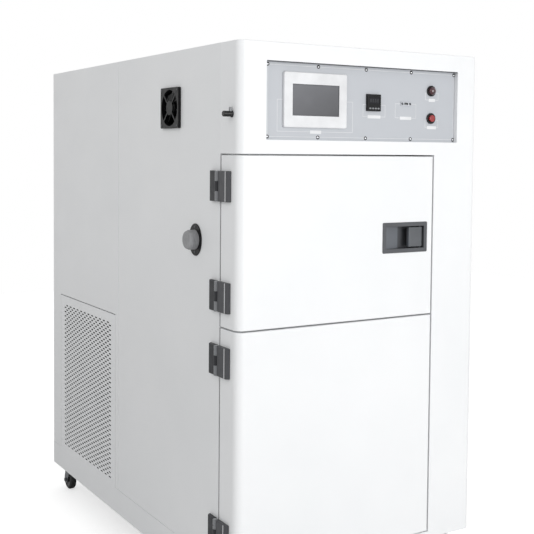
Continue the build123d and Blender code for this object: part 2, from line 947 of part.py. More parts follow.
def handle_tray():
    """Moulded flush tray: a sloped finger plate, a deep slot and the paddle's pin."""
    frame = on_panel(handle_centre, handle_size, (-handle_proud, 0))
    frame = fillet(frame.edges().filter_by(Axis.Y), handle_corner)
    frame = fillet(frame.faces().sort_by(Axis.Y)[0].edges(), handle_edge_radius)
    size = [side - 2 * handle_cut_margin for side in handle_size]
    frame += on_panel(handle_centre, size, (-past, handle_depth))
    floor = handle_depth - handle_back_wall
    outline = [
        (handle_left_in, -handle_proud - past),
        (handle_left_in, slope_start_depth),
        (slot_left, slope_end_depth),
        (slot_left, floor),
        (handle_right_in, floor),
        (handle_right_in, -handle_proud - past),
    ]
    low, high = handle_pocket_z
    frame -= column(outline, (low, high))
    slot = paddle_arm_slot()
    frame -= block(slot[0], (floor - past, handle_depth + past), slot[1])
    pin_start = (paddle_pin_x, paddle_pin_y, low - past)
    return frame + bar(pin_start, (0, 0, 1), paddle_pin_radius, high - low + 2 * past)


def paddle_arm_slot():
    """The window that the paddle's arm swings through, as x and z limits."""
    angle = math.radians(paddle_angle)
    swing = (bolt_front - paddle_pin_y) * math.tan(angle) + arm_width / 2 / math.cos(angle)
    x = (paddle_pin_x - swing - arm_clearance, paddle_pin_x + arm_width / 2 + arm_clearance)
    return x, about(bolt_mid_z, arm_height / 2 + arm_clearance)


def handle_paddle():
    """Pull plate on a vertical pin, with a finger lip and the arm that draws the bolt."""
    z = about(handle_centre[1], paddle_height / 2)
    back = paddle_front + paddle_thickness
    plate = block((paddle_left, paddle_right), (paddle_front, back), z)
    plate = fillet(plate.faces().sort_by(Axis.Y)[0].edges(), paddle_edge_radius)
    lip = block((paddle_left, paddle_left + paddle_lip), (back - past, paddle_lip_depth), z)
    boss_start = (paddle_pin_x, paddle_pin_y, z[0] + paddle_boss_inset)
    boss = bar(boss_start, (0, 0, 1), paddle_boss_radius, paddle_height - 2 * paddle_boss_inset)
    arm = block(
        about(paddle_pin_x, arm_width / 2),
        (paddle_pin_y, paddle_pin_y + arm_reach),
        about(bolt_mid_z, arm_height / 2),
    )
    bore = paddle_pin_radius + running_fit
    bore_start = (paddle_pin_x, paddle_pin_y, z[0] - past)
    hole = bar(bore_start, (0, 0, 1), bore, paddle_height + 2 * past)
    return plate + lip + boss + arm - hole


def latch_bolt():
    """Sliding bolt with a bevelled nose, drawn back by the paddle's arm."""
    x = (bolt_left, door_right + bolt_nose)
    y = (bolt_front, bolt_front + bolt_thickness)
    bolt = block(x, y, about(bolt_mid_z, bolt_height / 2))
    nose = bolt.edges().filter_by(Axis.Z).group_by(Axis.X)[-1].sort_by(Axis.Y)[-1]
    bolt = chamfer(nose, bolt_bevel)
    window_x = about(paddle_pin_x, arm_width / 2 + arm_window_play)
    window_z = about(bolt_mid_z, arm_height / 2 + arm_clearance)
    return bolt - block(window_x, (y[0] - past, y[1] + past), window_z)


def latch_case():
    """Channel behind the tray that guides the bolt to the door's edge."""
    wall = latch_case_wall
    x = (bolt_left - bolt_travel - 2 * wall, door_right - door_sheet)
    y = (handle_depth, bolt_front + bolt_thickness + wall)
    case = block(x, y, about(bolt_mid_z, bolt_height / 2 + wall))
    case -= block(
        (x[0] - past, x[1] + past),
        (bolt_front - fit_gap, bolt_front + bolt_thickness + fit_gap),
        about(bolt_mid_z, bolt_height / 2 + fit_gap),
    )
    slot = paddle_arm_slot()
    return case - block(slot[0], (handle_depth - past, bolt_front), slot[1])


# Left side fittings

def exhaust_fan_housing():
    """Square axial fan frame with a front guard and a hub plate carried on four struts."""
    y, z = exhaust_fan_centre
    half = exhaust_fan_size / 2
    x = (-exhaust_fan_proud, exhaust_fan_thickness - exhaust_fan_proud)
    flange = block((x[0], 0), about(y, half), about(z, half))
    flange = fillet(flange.edges().filter_by(Axis.X), exhaust_fan_corner)
    body_half = half - exhaust_fan_flange
    frame = flange + block((x[0] + past, x[1]), about(y, body_half), about(z, body_half))
    bore_start = (x[0] - past, y, z)
    frame -= bar(bore_start, (1, 0, 0), exhaust_fan_bore_radius, exhaust_fan_thickness + 2 * past)
    reach = exhaust_fan_bore_radius + past
    plate = exhaust_fan_plate
    for start in (x[0], x[1] - plate):
        frame += bar((start, y, z), (1, 0, 0), exhaust_fan_hub_radius, plate)
        for turn in (45, 135):
            strut = Box(plate, 2 * reach, exhaust_fan_strut)
            frame += Pos(start + plate / 2, y, z) * Rot(turn, 0, 0) * strut
    pin_start = (x[0] + plate - past, y, z)
    pin_length = exhaust_fan_thickness - 2 * plate + 2 * past
    return frame + bar(pin_start, (1, 0, 0), exhaust_fan_pin_radius, pin_length)


def rotor(centre, hub_radius, tip_radius, width, blades, pitch, bore):
    """An axial rotor that turns about the x axis: a hub with tilted blades."""
    length = tip_radius - hub_radius + blade_root
    blade = Box(length, width * blade_chord_share, blade_thickness)
    blade = Pos(hub_radius - blade_root + length / 2, 0, 0) * Rot(pitch, 0, 0) * blade
    limit = Cylinder(tip_radius, width)
    wheel = Cylinder(hub_radius, width)
    for index in range(blades):
        wheel += (Rot(0, 0, 360 * index / blades) * blade) & limit
    wheel -= Cylinder(bore, width + 2 * past)
    return Plane(origin=centre, z_dir=(1, 0, 0)).location * wheel


def exhaust_fan_rotor():
    """Seven-bladed rotor of the exhaust fan."""
    return rotor(
        (exhaust_fan_thickness / 2 - exhaust_fan_proud, *exhaust_fan_centre),
        exhaust_fan_hub_radius,
        exhaust_fan_bore_radius - exhaust_fan_tip_gap,
        exhaust_fan_thickness - 2 * (exhaust_fan_plate + exhaust_fan_end_gap),
        exhaust_fan_blades,
        exhaust_fan_pitch,
        exhaust_fan_pin_radius + running_fit,
    )


def cable_port_flange():
    """Oval flange with the tube that lines the hole through the insulation."""
    face = Plane(origin=(0, *port_centre), x_dir=(0, 1, 0), z_dir=(-1, 0, 0))
    outline = Ellipse(port_flange_size[0] / 2, port_flange_size[1] / 2)
    flange = extrude(face.location * outline, port_flange_thickness)
    length = port_flange_thickness + liner_left
    outer = port_bore_radius + port_tube_wall
    tube = bar((-port_flange_thickness, *port_centre), (1, 0, 0), outer, length)
    start = (-port_flange_thickness - past, *port_centre)
    return flange + tube - bar(start, (1, 0, 0), port_bore_radius, length + 2 * past)


def cable_port_plug():
    """Ribbed soft plug that closes the cable port."""
    y, z = port_centre
    cap_start = -port_flange_thickness - fit_gap
    cap_length = port_cap_proud + cap_start
    cap = bar((cap_start, y, z), (-1, 0, 0), port_cap_radius, cap_length)
    cap = fillet(cap.edges().sort_by(Axis.X)[0], port_cap_edge_radius)
    groove_start = (cap_start - cap_length * (1 - port_groove_share), y, z)
    groove = bar(groove_start, (-1, 0, 0), port_cap_radius + past, port_groove_width)
    core = port_cap_radius - port_groove_depth
    groove -= bar(groove_start, (-1, 0, 0), core, port_groove_width)
    stem_start = (cap_start - past, y, z)
    return cap - groove + bar(stem_start, (1, 0, 0), port_plug_radius, port_plug_insert + past)


def side_latch_knob():
    """Quarter-turn latch: a knob with a tab outside and a cam inside the housing's side."""
    y, z = knob_place
    collar = bar((-fit_gap, y, z), (-1, 0, 0), knob_collar_radius, knob_collar_thickness)
    knob = bar((-fit_gap, y, z), (-1, 0, 0), knob_radius, knob_proud - fit_gap)
    knob = fillet(knob.edges().sort_by(Axis.X)[0], knob_edge_radius)
    tab = block(
        (-fit_gap - knob_tab_size[0], -fit_gap), about(y, knob_tab_size[1] / 2), (z, z + knob_tab_height)
    )
    shaft = bar((-past, y, z), (1, 0, 0), knob_shaft_radius, past + sheet + knob_shaft_reach)
    cam_x = sheet + knob_cam_gap
    cam = block(
        (cam_x, cam_x + knob_cam_thickness),
        about(y, knob_cam_side),
        (z - knob_cam_length, z + knob_shaft_radius),
    )
    return collar + knob + tab + shaft + cam


# Insulated spaces

def liner(opening, flange_z):
    """Stainless box with a flange that closes the insulation at the front."""
    wall = liner_sheet
    flange_x = (panel_return + fit_gap, flange_right)
    flange = block(flange_x, (front_depth, front_depth + wall), flange_z)
    box = block(
        (liner_left - wall, liner_right + wall),
        (front_depth, liner_back + wall),
        (opening[0] - wall, opening[1] + wall),
    )
    space = block((liner_left, liner_right), (front_depth - past, liner_back), opening)
    return flange + box - space


def upper_liner():
    """Liner of the test space, with holes for the cable port and the fan shaft."""
    opening = (test_space_bottom, test_space_top)
    shape = liner(opening, (door_split_z, control_bottom + sheet))
    hole = port_bore_radius + port_tube_wall + fit_gap
    through = liner_sheet + 2 * past
    shape -= bar((liner_left - liner_sheet - past, *port_centre), (1, 0, 0), hole, through)
    shaft = wheel_shaft_radius + shaft_clearance
    return shape - bar((fan_mid_x, liner_back - past, fan_mid_z), (0, 1, 0), shaft, through)


def lower_liner():
    """Liner of the cold space."""
    return liner((cold_space_bottom, cold_space_top), (deck_z, door_split_z - fit_gap))


def cabinet_insulation():
    """Foam block around both liners."""
    front = front_depth + liner_sheet
    x = (panel_return + fit_gap, flange_right)
    foam = block(x, (front, insulation_back), (deck_z, insulation_top))
    wall = liner_sheet
    for opening in ((test_space_bottom, test_space_top), (cold_space_bottom, cold_space_top)):
        foam -= block(
            (liner_left - wall, liner_right + wall),
            (front - past, liner_back + wall),
            (opening[0] - wall, opening[1] + wall),
        )
    hole = port_bore_radius + port_tube_wall
    foam -= bar((x[0] - past, *port_centre), (1, 0, 0), hole, liner_left - x[0])
    shaft = wheel_shaft_radius + shaft_clearance
    return foam - bar((fan_mid_x, liner_back, fan_mid_z), (0, 1, 0), shaft, insulation_back)


def shelf_rails():
    """Angle rails on the two side walls of the test space."""
    top = shelf_z - fit_gap
    y = (shelf_front - shelf_travel / 2, duct_face_y - fit_gap)
    rails = []
    for wall_x, inward in ((liner_left, 1), (liner_right, -1)):
        foot = sorted((wall_x, wall_x + inward * shelf_rail_width))
        web = sorted((wall_x, wall_x + inward * shelf_sheet))
        rail = block(foot, y, (top - shelf_sheet, top))
        rails.append(rail + block(web, y, (top - shelf_rim, top)))
    return rails


def shelf():
    """Punched stainless shelf with turned-down rims, resting on the rails."""
    x = (liner_left + shelf_side_gap, liner_right - shelf_side_gap)
    y = (shelf_front, shelf_back)
    top = shelf_z + shelf_sheet
    plate = block(x, y, (shelf_z, top))
    inner = (x[0] + shelf_rail_width + shelf_sheet, x[1] - shelf_rail_width - shelf_sheet)
    for rim in ((y[0], y[0] + shelf_sheet), (y[1] - shelf_sheet, y[1])):
        plate += block(inner, rim, (shelf_z - shelf_rim, top))
    middle = ((x[0] + x[1]) / 2, (y[0] + y[1]) / 2, shelf_z - past)
    size = (x[1] - x[0], y[1] - y[0])
    slots = slot_sketch(*size, shelf_slot_size, shelf_slot_pitch, shelf_slot_margin)
    return plate - [extrude(Pos(*middle) * slot, shelf_sheet + 2 * past) for slot in slots]


def air_duct_panel():
    """Stainless panel across the test space's rear, with the fan inlet and outlet slots."""
    z = (test_space_bottom, test_space_top)
    y = (duct_face_y, duct_face_y + liner_sheet)
    through = (y[0] - past, y[1] + past)
    panel = block((liner_left, liner_right), y, z)
    step = duct_inlet_radius * 2 / duct_inlet_slots
    for index in range(duct_inlet_slots):
        level = duct_inlet_radius - step * (index + 0.5)
        half = math.sqrt(duct_inlet_radius ** 2 - level ** 2)
        panel -= block(about(fan_mid_x, half), through, about(fan_mid_z + level, step / 4))
    pitch = (liner_right - liner_left) / (duct_slot_count + 1)
    for index in range(duct_slot_count):
        centre_x = liner_left + pitch * (index + 1)
        for level in (z[0] + duct_slot_edge, z[1] - duct_slot_edge):
            panel -= on_panel((centre_x, level), duct_slot_size, through)
    return panel


def circulation_motor():
    """Motor on the back of the insulation, with a bore for the fan shaft."""
    start = (fan_mid_x, insulation_back, fan_mid_z)
    flange = bar(start, (0, 1, 0), motor_radius + motor_flange_width, motor_flange_thickness)
    body = bar(start, (0, 1, 0), motor_radius, motor_length)
    body = fillet(body.edges().sort_by(Axis.Y)[-1], motor_edge_radius)
    bore_start = (fan_mid_x, insulation_back - past, fan_mid_z)
    bore = wheel_shaft_radius + running_fit
    return flange + body - bar(bore_start, (0, 1, 0), bore, motor_bearing_depth + past)


def circulation_fan_wheel():
    """Radial fan wheel behind the duct panel, with its shaft to the motor."""
    towards_motor = (Align.CENTER, Align.CENTER, Align.MIN)
    towards_duct = (Align.CENTER, Align.CENTER, Align.MAX)
    wheel = Cylinder(wheel_radius, wheel_disc, align=towards_motor)
    wheel += Cylinder(wheel_shaft_radius + wheel_hub_wall, wheel_width, align=towards_duct)
    vane = Rot(0, 0, wheel_vane_angle) * Box(wheel_vane_length, wheel_disc, wheel_width)
    vane = Pos(wheel_vane_centre, 0, past - wheel_width / 2) * vane
    for index in range(wheel_blades):
        wheel += Rot(0, 0, 360 * index / wheel_blades) * vane
    back = wheel_mid_y + wheel_width / 2
    shaft_length = insulation_back + motor_bearing_depth - shaft_clearance - back
    wheel += Cylinder(wheel_shaft_radius, shaft_length, align=towards_motor)
    return Plane(origin=(fan_mid_x, back, fan_mid_z), z_dir=(0, 1, 0)).location * wheel


def heater_element():
    """Two heater rings around the fan wheel, with terminals through the liner's rear wall."""
    rings = []
    for offset in (-heater_ring_offset, heater_ring_offset):
        y = wheel_mid_y + offset
        place = Plane(origin=(fan_mid_x, y, fan_mid_z), z_dir=(0, 1, 0))
        ring = place.location * Torus(heater_ring_radius, heater_rod_radius)
        start = (fan_mid_x, y, fan_mid_z - heater_ring_radius)
        rings.append(ring + bar(start, (0, 1, 0), heater_terminal_radius, liner_back - y))
    return rings


def finned_coil(x, y, z, fins, across):
    """A coil block: fins across one axis and straight tubes through all of them."""
    limits = [x, y, z]
    low, high = limits[across]
    step = (high - low - fin_thickness) / fins
    coil = None
    for index in range(fins + 1):
        span = list(limits)
        span[across] = (low + step * index, low + step * index + fin_thickness)
        coil = block(*span) if coil is None else coil + block(*span)
    direction = [0, 0, 0]
    direction[across] = 1
    for row in range(coil_tube_rows):
        start = [(near + far) / 2 for near, far in limits]
        start[across] = low
        start[2] = z[0] + (z[1] - z[0]) * (row + 0.5) / coil_tube_rows
        coil += bar(tuple(start), tuple(direction), coil_tube_radius, high - low)
    return coil


def evaporator_coil():
    """Finned evaporator across the rear of the cold space."""
    return finned_coil(
        (liner_left + evaporator_margin, liner_right - evaporator_margin),
        (liner_back - evaporator_depth, liner_back),
        (cold_space_bottom, evaporator_top),
        evaporator_fins,
        0,
    )


# Machine room

def compressor():
    """Hermetic compressor on its foot plate."""
    x, y = compressor_place
    radius = compressor_radius
    foot = block(about(x, radius), about(y, radius), (deck_z, deck_z + compressor_foot))
    pot = bar((x, y, deck_z + compressor_foot - past), (0, 0, 1), radius, compressor_height)
    rims = pot.edges().filter_by(GeomType.CIRCLE).sort_by(Axis.Z)
    pot = fillet(rims[-1], compressor_dome_radius)
    low_rim = pot.edges().filter_by(GeomType.CIRCLE).sort_by(Axis.Z)[0]
    return foot + fillet(low_rim, compressor_base_radius)


def condenser_coil():
    """Finned condenser behind the vent panel, standing on the deck."""
    return finned_coil(
        (condenser_left, condenser_left + condenser_thickness),
        (condenser_front, condenser_back),
        (deck_z, condenser_top),
        condenser_fins,
        1,
    )


def condenser_fan_place():
    """Centre of the condenser fan as x, y, z."""
    face = condenser_left + condenser_thickness + sheet
    x = face + condenser_fan_width / 2 + condenser_fan_side_gap
    return (x, (condenser_front + condenser_back) / 2, (deck_z + condenser_top) / 2)


def condenser_fan_shroud():
    """Shroud plate on the condenser, with the fan's motor on a bracket."""
    x, y, z = condenser_fan_place()
    face = condenser_left + condenser_thickness
    shroud = block((face, face + sheet), (condenser_front, condenser_back), (deck_z, condenser_top))
    opening = condenser_fan_radius + condenser_fan_clearance
    shroud -= bar((face - past, y, z), (1, 0, 0), opening, sheet + 2 * past)
    fan_start = x - condenser_fan_width / 2
    motor_x = x + condenser_fan_width / 2 + condenser_fan_side_gap
    motor_end = motor_x + condenser_motor_length
    bracket_end = motor_end + condenser_bracket_thickness
    bracket_y = about(y, condenser_bracket_width / 2)
    tie_z = (condenser_top - condenser_bracket_thickness, condenser_top)
    shroud += bar((motor_x, y, z), (1, 0, 0), condenser_motor_radius, condenser_motor_length)
    shroud += block((motor_end, bracket_end), bracket_y, (deck_z, condenser_top))
    shroud += block((face + sheet, bracket_end), bracket_y, tie_z)
    pin_length = motor_x - fan_start + past
    return shroud + bar((fan_start, y, z), (1, 0, 0), condenser_fan_pin_radius, pin_length)


def condenser_fan():
    """Five-bladed condenser fan."""
    return rotor(
        condenser_fan_place(),
        condenser_fan_hub_radius,
        condenser_fan_radius,
        condenser_fan_width,
        condenser_fan_blades,
        condenser_fan_pitch,
        condenser_fan_pin_radius + running_fit,
    )


def electrical_plate():
    """Mounting plate on the top of the insulation, with a row of switching devices."""
    top = insulation_top + electrical_plate_thickness
    x = (panel_return + tube_size + fit_gap, liner_right)
    devices = [block(x, (electrical_plate_front, insulation_back), (insulation_top, top))]
    width, depth, height = electrical_device_size
    pitch = (x[1] - x[0]) / electrical_device_count
    device_y = about((electrical_plate_front + insulation_back) / 2, depth / 2)
    for index in range(electrical_device_count):
        device_x = about(x[0] + pitch * (index + 0.5), width / 2)
        devices.append(block(device_x, device_y, (top, top + height)))
    return devices


# Castors

def castor_places():
    """Names and kingpin places of the four castors."""
    left = castor_side_inset
    right = cabinet_width - castor_side_inset
    front = front_depth + castor_end_inset
    rear = cabinet_depth - castor_end_inset
    return {
        "front_left": (left, front),
        "front_right": (right, front),
        "rear_left": (left, rear),
        "rear_right": (right, rear),
    }


def castor_plate(x, y):
    """Fixing plate with the kingpin that the fork turns on."""
    size = castor_plate_size
    bottom = -castor_plate_thickness
    plate = block(about(x, size[0] / 2), about(y, size[1] / 2), (bottom, 0))
    plate = fillet(plate.edges().filter_by(Axis.Z), castor_plate_corner)
    length = castor_race_height + castor_fork_wall + 2 * fit_gap
    pin = bar((x, y, bottom + past), (0, 0, -1), kingpin_radius, length + past)
    head = bar((x, y, bottom - length), (0, 0, -1), kingpin_head_radius, kingpin_head_height)
    return plate + pin + head


def castor_fork(x, y):
    """Swivel race and fork with the axle, trailing behind the kingpin."""
    top = -castor_plate_thickness - fit_gap
    race_bottom = top - castor_race_height
    half = castor_wheel_width / 2 + castor_fork_clearance
    outside = half + castor_fork_wall
    axle_y = y + castor_fork_offset
    axle_z = castor_wheel_radius - castor_height
    crown_y = (y - castor_race_radius, axle_y + castor_fork_foot)
    crown_z = (race_bottom - castor_fork_wall, race_bottom)
    fork = bar((x, y, top), (0, 0, -1), castor_race_radius, castor_race_height)
    fork += block(about(x, outside), crown_y, crown_z)
    for start in (x - outside, x + half):
        leg_face = Plane(origin=(start, 0, 0), x_dir=(0, 1, 0), z_dir=(1, 0, 0))
        outline = Polyline(
            (crown_y[0] + castor_fork_taper, race_bottom),
            (crown_y[1], race_bottom),
            (crown_y[1], axle_z - castor_fork_foot),
            (axle_y - castor_fork_foot, axle_z - castor_fork_foot),
            close=True,
        )
        fork += leg_face.location * extrude(make_face(outline), castor_fork_wall)
    axle_half = outside + castor_axle_end
    fork += bar((x - axle_half, axle_y, axle_z), (1, 0, 0), castor_axle_radius, 2 * axle_half)
    bore_length = castor_race_height + castor_fork_wall + 2 * past
    return fork - bar((x, y, top + past), (0, 0, -1), kingpin_radius + running_fit, bore_length)


def castor_wheel(x, y):
    """Tyre and hub of one castor on its axle."""
    width = castor_wheel_width
    axle = (y + castor_fork_offset, castor_wheel_radius - castor_height)
    near = x - width / 2
    wheel = bar((near, *axle), (1, 0, 0), castor_wheel_radius, width)
    wheel = fillet(wheel.edges().filter_by(GeomType.CIRCLE), castor_wheel_edge_radius)
    for start in (near - past, near + width - castor_dish_depth):
        dish = bar((start, *axle), (1, 0, 0), castor_dish_radius, castor_dish_depth + past)
        dish -= bar((start, *axle), (1, 0, 0), castor_boss_radius, castor_dish_depth + past)
        wheel -= dish
    bore = castor_axle_radius + running_fit
    return wheel - bar((near - past, *axle), (1, 0, 0), bore, width + 2 * past)


def build():
    """Make and write every node."""
    upper_z = (upper_door_bottom, upper_door_top)
    lower_z = (lower_door_bottom, lower_door_top)
    test_space = (test_space_bottom, test_space_top)
    cold_space = (cold_space_bottom, cold_space_top)

    save("base_frame", *base_frame())
    save("body_frame", *body_frame())
    save("left_side_panel", left_side_panel())
    save("right_side_panel", right_side_panel())
    save("left_rear_panel", left_rear_panel())
    save("right_rear_panel", rear_side_panel((inside_right, cabinet_width), -1))
    save("left_vent_panel", left_vent_panel())
    save("back_panel", back_panel())
    save("top_panel", top_panel())

    save("front_fascia", front_fascia())
    save("control_panel", control_panel())
    save("screen_housing", screen_housing())
    save("screen", screen())
    save("temperature_controller", temperature_controller())
    save("data_socket", data_socket())
    save("device_bezels", bezel(lamp_centre, True), bezel(button_centre, False))
    save("alarm_lamp", alarm_lamp())
    save("power_button", power_button())

    save("upper_door_shell", door_shell(upper_z, True))
    save("upper_door_inner_panel", door_inner_panel(upper_z, test_space))
    save("upper_door_gasket", door_gasket(test_space))
    save("upper_door_hinge_leaves", *door_hinge_leaves(upper_z, hinge_inset_upper))
    save("handle_tray", handle_tray())
    save("handle_paddle", handle_paddle())
    save("latch_bolt", latch_bolt())
    save("latch_case", latch_case())
    save("lower_door_shell", door_shell(lower_z, False))
    save("lower_door_inner_panel", door_inner_panel(lower_z, cold_space))
    save("lower_door_gasket", door_gasket(cold_space))
    save("lower_door_hinge_leaves", *door_hinge_leaves(lower_z, hinge_inset_lower))
    save("cabinet_hinge_leaves", *cabinet_hinge_leaves())

    save("exhaust_fan_housing", exhaust_fan_housing())
    save("exhaust_fan_rotor", exhaust_fan_rotor())
    save("cable_port_flange", cable_port_flange())
    save("cable_port_plug", cable_port_plug())
    save("side_latch_knob", side_latch_knob())

    save("upper_liner", upper_liner())
    save("lower_liner", lower_liner())
    save("cabinet_insulation", cabinet_insulation())
    save("shelf_rails", *shelf_rails())
    save("shelf", shelf())
    save("air_duct_panel", air_duct_panel())
    save("circulation_motor", circulation_motor())
    save("circulation_fan_wheel", circulation_fan_wheel())
    save("heater_element", *heater_element())
    save("evaporator_coil", evaporator_coil())

    save("compressor", compressor())
    save("condenser_coil", condenser_coil())
    save("condenser_fan_shroud", condenser_fan_shroud())
    save("condenser_fan", condenser_fan())
    save("electrical_plate", *electrical_plate())

    save("castor_plates", *[castor_plate(x, y) for x, y in castor_places().values()])
    for name, (x, y) in castor_places().items():
        save("castor_fork_" + name, castor_fork(x, y))
        save("castor_wheel_" + name, castor_wheel(x, y))


os.makedirs("parts", exist_ok=True)
build()
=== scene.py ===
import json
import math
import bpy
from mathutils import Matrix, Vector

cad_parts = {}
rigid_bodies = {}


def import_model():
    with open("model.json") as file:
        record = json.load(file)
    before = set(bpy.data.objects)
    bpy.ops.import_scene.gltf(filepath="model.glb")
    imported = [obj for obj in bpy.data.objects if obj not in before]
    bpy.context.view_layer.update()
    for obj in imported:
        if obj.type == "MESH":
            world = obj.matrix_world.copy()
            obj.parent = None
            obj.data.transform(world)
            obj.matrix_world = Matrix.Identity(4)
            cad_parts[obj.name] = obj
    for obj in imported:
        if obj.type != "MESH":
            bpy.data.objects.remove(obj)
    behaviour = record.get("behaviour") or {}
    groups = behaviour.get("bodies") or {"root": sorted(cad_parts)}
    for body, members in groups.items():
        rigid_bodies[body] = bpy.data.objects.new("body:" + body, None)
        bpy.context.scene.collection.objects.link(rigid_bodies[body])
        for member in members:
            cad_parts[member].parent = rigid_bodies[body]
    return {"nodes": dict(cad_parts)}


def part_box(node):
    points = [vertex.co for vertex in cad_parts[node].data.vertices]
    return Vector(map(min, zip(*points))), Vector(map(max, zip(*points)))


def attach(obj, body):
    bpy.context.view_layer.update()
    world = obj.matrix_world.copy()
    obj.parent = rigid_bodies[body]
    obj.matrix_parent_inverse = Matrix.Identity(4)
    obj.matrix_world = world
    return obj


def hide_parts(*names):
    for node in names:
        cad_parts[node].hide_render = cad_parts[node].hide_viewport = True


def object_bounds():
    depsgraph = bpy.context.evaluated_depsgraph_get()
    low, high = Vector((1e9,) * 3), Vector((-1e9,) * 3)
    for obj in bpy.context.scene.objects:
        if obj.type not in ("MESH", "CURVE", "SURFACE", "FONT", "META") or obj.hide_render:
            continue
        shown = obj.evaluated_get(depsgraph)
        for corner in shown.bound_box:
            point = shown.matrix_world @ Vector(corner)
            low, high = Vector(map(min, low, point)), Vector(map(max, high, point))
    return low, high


bl_info = {
    "name": "Environmental test chamber",
    "version": (1, 0, 0),
    "blender": (4, 5, 0),
    "location": "3D View > Sidebar > Chamber",
    "description": "Dresses the cabinet, doors, fittings and castors, and sets the stage",
    "category": "Object",
}

import bmesh
import bpy
from bpy.props import FloatProperty, FloatVectorProperty, IntProperty, PointerProperty
from mathutils import Matrix, Vector

for start_object in list(bpy.data.objects):
    bpy.data.objects.remove(start_object)

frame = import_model()
CAD_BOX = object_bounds()

# Local drawing frame, in millimetres: x from the left side face, y back from the door fronts,
# z up from the bottom of the base rail.
MM = 0.001
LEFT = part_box("left_side_panel")[0].x
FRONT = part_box("upper_door_shell")[0].y
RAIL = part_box("base_frame")[0].z


def at(x, y, z):
    """A point of the drawing frame, in metres."""
    return Vector((LEFT + x * MM, FRONT + y * MM, RAIL + z * MM))


def local_box(node):
    """The limits of a node along x, y and z in the drawing frame."""
    low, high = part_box(node)
    zero = at(0, 0, 0)
    return [((low[i] - zero[i]) / MM, (high[i] - zero[i]) / MM) for i in range(3)]


def middle(limits):
    return (limits[0] + limits[1]) / 2


def about(centre, half):
    """Limits that lie evenly about a centre."""
    return (centre - half, centre + half)


def within(limits, margin):
    """Limits drawn in by a margin at both ends."""
    return (limits[0] + margin, limits[1] - margin)


def tone(red, green, blue):
    """A colour given as display values from 0 to 255, as linear light."""
    def channel(value):
        value /= 255
        return value / 12.92 if value <= 0.04045 else ((value + 0.055) / 1.055) ** 2.4

    return (channel(red), channel(green), channel(blue))


# Painted outlines on the control panel: the device, how far the outline's middle stands to the
# right of the device's, how far its lower edge lies below the device's middle, its width and
# height, and the width of the blank label on its lower edge
PANEL_OUTLINES = (
    ("screen_housing", 4.0, 86.5, 251.0, 87.0, 37.0),
    ("temperature_controller", 5.0, 40.0, 80.0, 35.0, 46.0),
    ("data_socket", 0.0, 42.0, 78.0, 42.0, 42.0),
    ("alarm_lamp", 4.0, 27.0, 50.0, 22.0, 24.0),
    ("power_button", 4.0, 27.0, 50.0, 23.0, 35.0),
)
# From the front of a castor's fork back to its kingpin
KINGPIN_FROM_FORK_FRONT = 24.0


# Settings that a user would change

def colour_setting(name, description, default):
    return FloatVectorProperty(
        name=name, description=description, default=default, size=3, min=0, max=1, subtype="COLOR"
    )


def length_setting(name, description, default):
    return FloatProperty(
        name=name, description=description, default=default * MM, min=0, unit="LENGTH", precision=4
    )


def angle_setting(name, description, degrees):
    return FloatProperty(
        name=name, description=description, default=math.radians(degrees), subtype="ANGLE"
    )


def power_setting(name, description, default):
    return FloatProperty(name=name, description=description, default=default, min=0, unit="POWER")


def count_setting(name, description, default, least=1):
    return IntProperty(name=name, description=description, default=default, min=least)


class ChamberFinishes(bpy.types.PropertyGroup):
    """Colours of the painted, moulded and bare surfaces."""
    front_paint: colour_setting("Front paint", "Powder coat of the fascia and doors", tone(238, 239, 240))
    side_paint: colour_setting("Side paint", "Powder coat of the sides, back and base", tone(236, 237, 238))
    panel_grey: colour_setting("Control panel", "Paint of the control panel", tone(186, 189, 194))
    white_moulding: colour_setting("White mouldings", "Screen housing and labels", tone(222, 223, 225))
    charcoal: colour_setting("Charcoal mouldings", "Door handle and its paddle", tone(74, 76, 80))
    black_plastic: colour_setting("Black mouldings", "Fan, controller and knob", tone(16, 16, 18))
    hinge_grey: colour_setting("Hinge halves", "Cast hinge halves", tone(74, 75, 78))
    # Painted highlight: the knuckles get a paler copy of the hinge metal, standing in for light on their
    # round faces.
    hinge_edge: colour_setting("Hinge knuckles", "Paler knuckles of the hinges", tone(128, 130, 133))
    # Painted shade: the cabinet halves get a darker copy of the same hinge metal.
    cabinet_hinge_shade: colour_setting("Cabinet hinge halves", "Darker halves on the cabinet", tone(50, 51, 54))
    finger_plate: colour_setting("Finger plate", "Sloped plate of the handle", tone(96, 100, 106))
    paddle: colour_setting("Paddle", "Pull plate of the handle", tone(84, 87, 91))
    cap_red: colour_setting("Button cap", "Red cap of the push button", tone(150, 20, 24))
    lens_red: colour_setting("Lamp lens", "Deep red lens of the lamp", tone(62, 8, 20))
    port_grey: colour_setting("Port plug", "Soft plug of the cable port", tone(150, 151, 153))
    screen_glass: colour_setting("Screen glass", "Glass of the dark touch screen", tone(90, 91, 95))
    tyre_black: colour_setting("Tyres", "Castor tyres", tone(22, 22, 23))


class ChamberVents(bpy.types.PropertyGroup):
    """Slots of the vent panel."""
    slot_length: length_setting("Slot length", "Length of one air slot", 20.0)
    slot_height: length_setting("Slot height", "Height of one air slot", 5.0)
    pitch_along: length_setting("Pitch along a row", "From one slot to the next in a row", 37.0)
    pitch_rows: length_setting("Pitch of rows", "From one row to the next", 8.2)
    columns: count_setting("Slots in a row", "Slots in each full row", 13)
    lowest_row: length_setting("Lowest row", "From the panel's foot to the lowest row", 23.5)
    top_margin: length_setting("Top margin", "Least height above the top row", 27.0)
    sheet: length_setting("Sheet", "Thickness of the panel's sheet", 1.5)


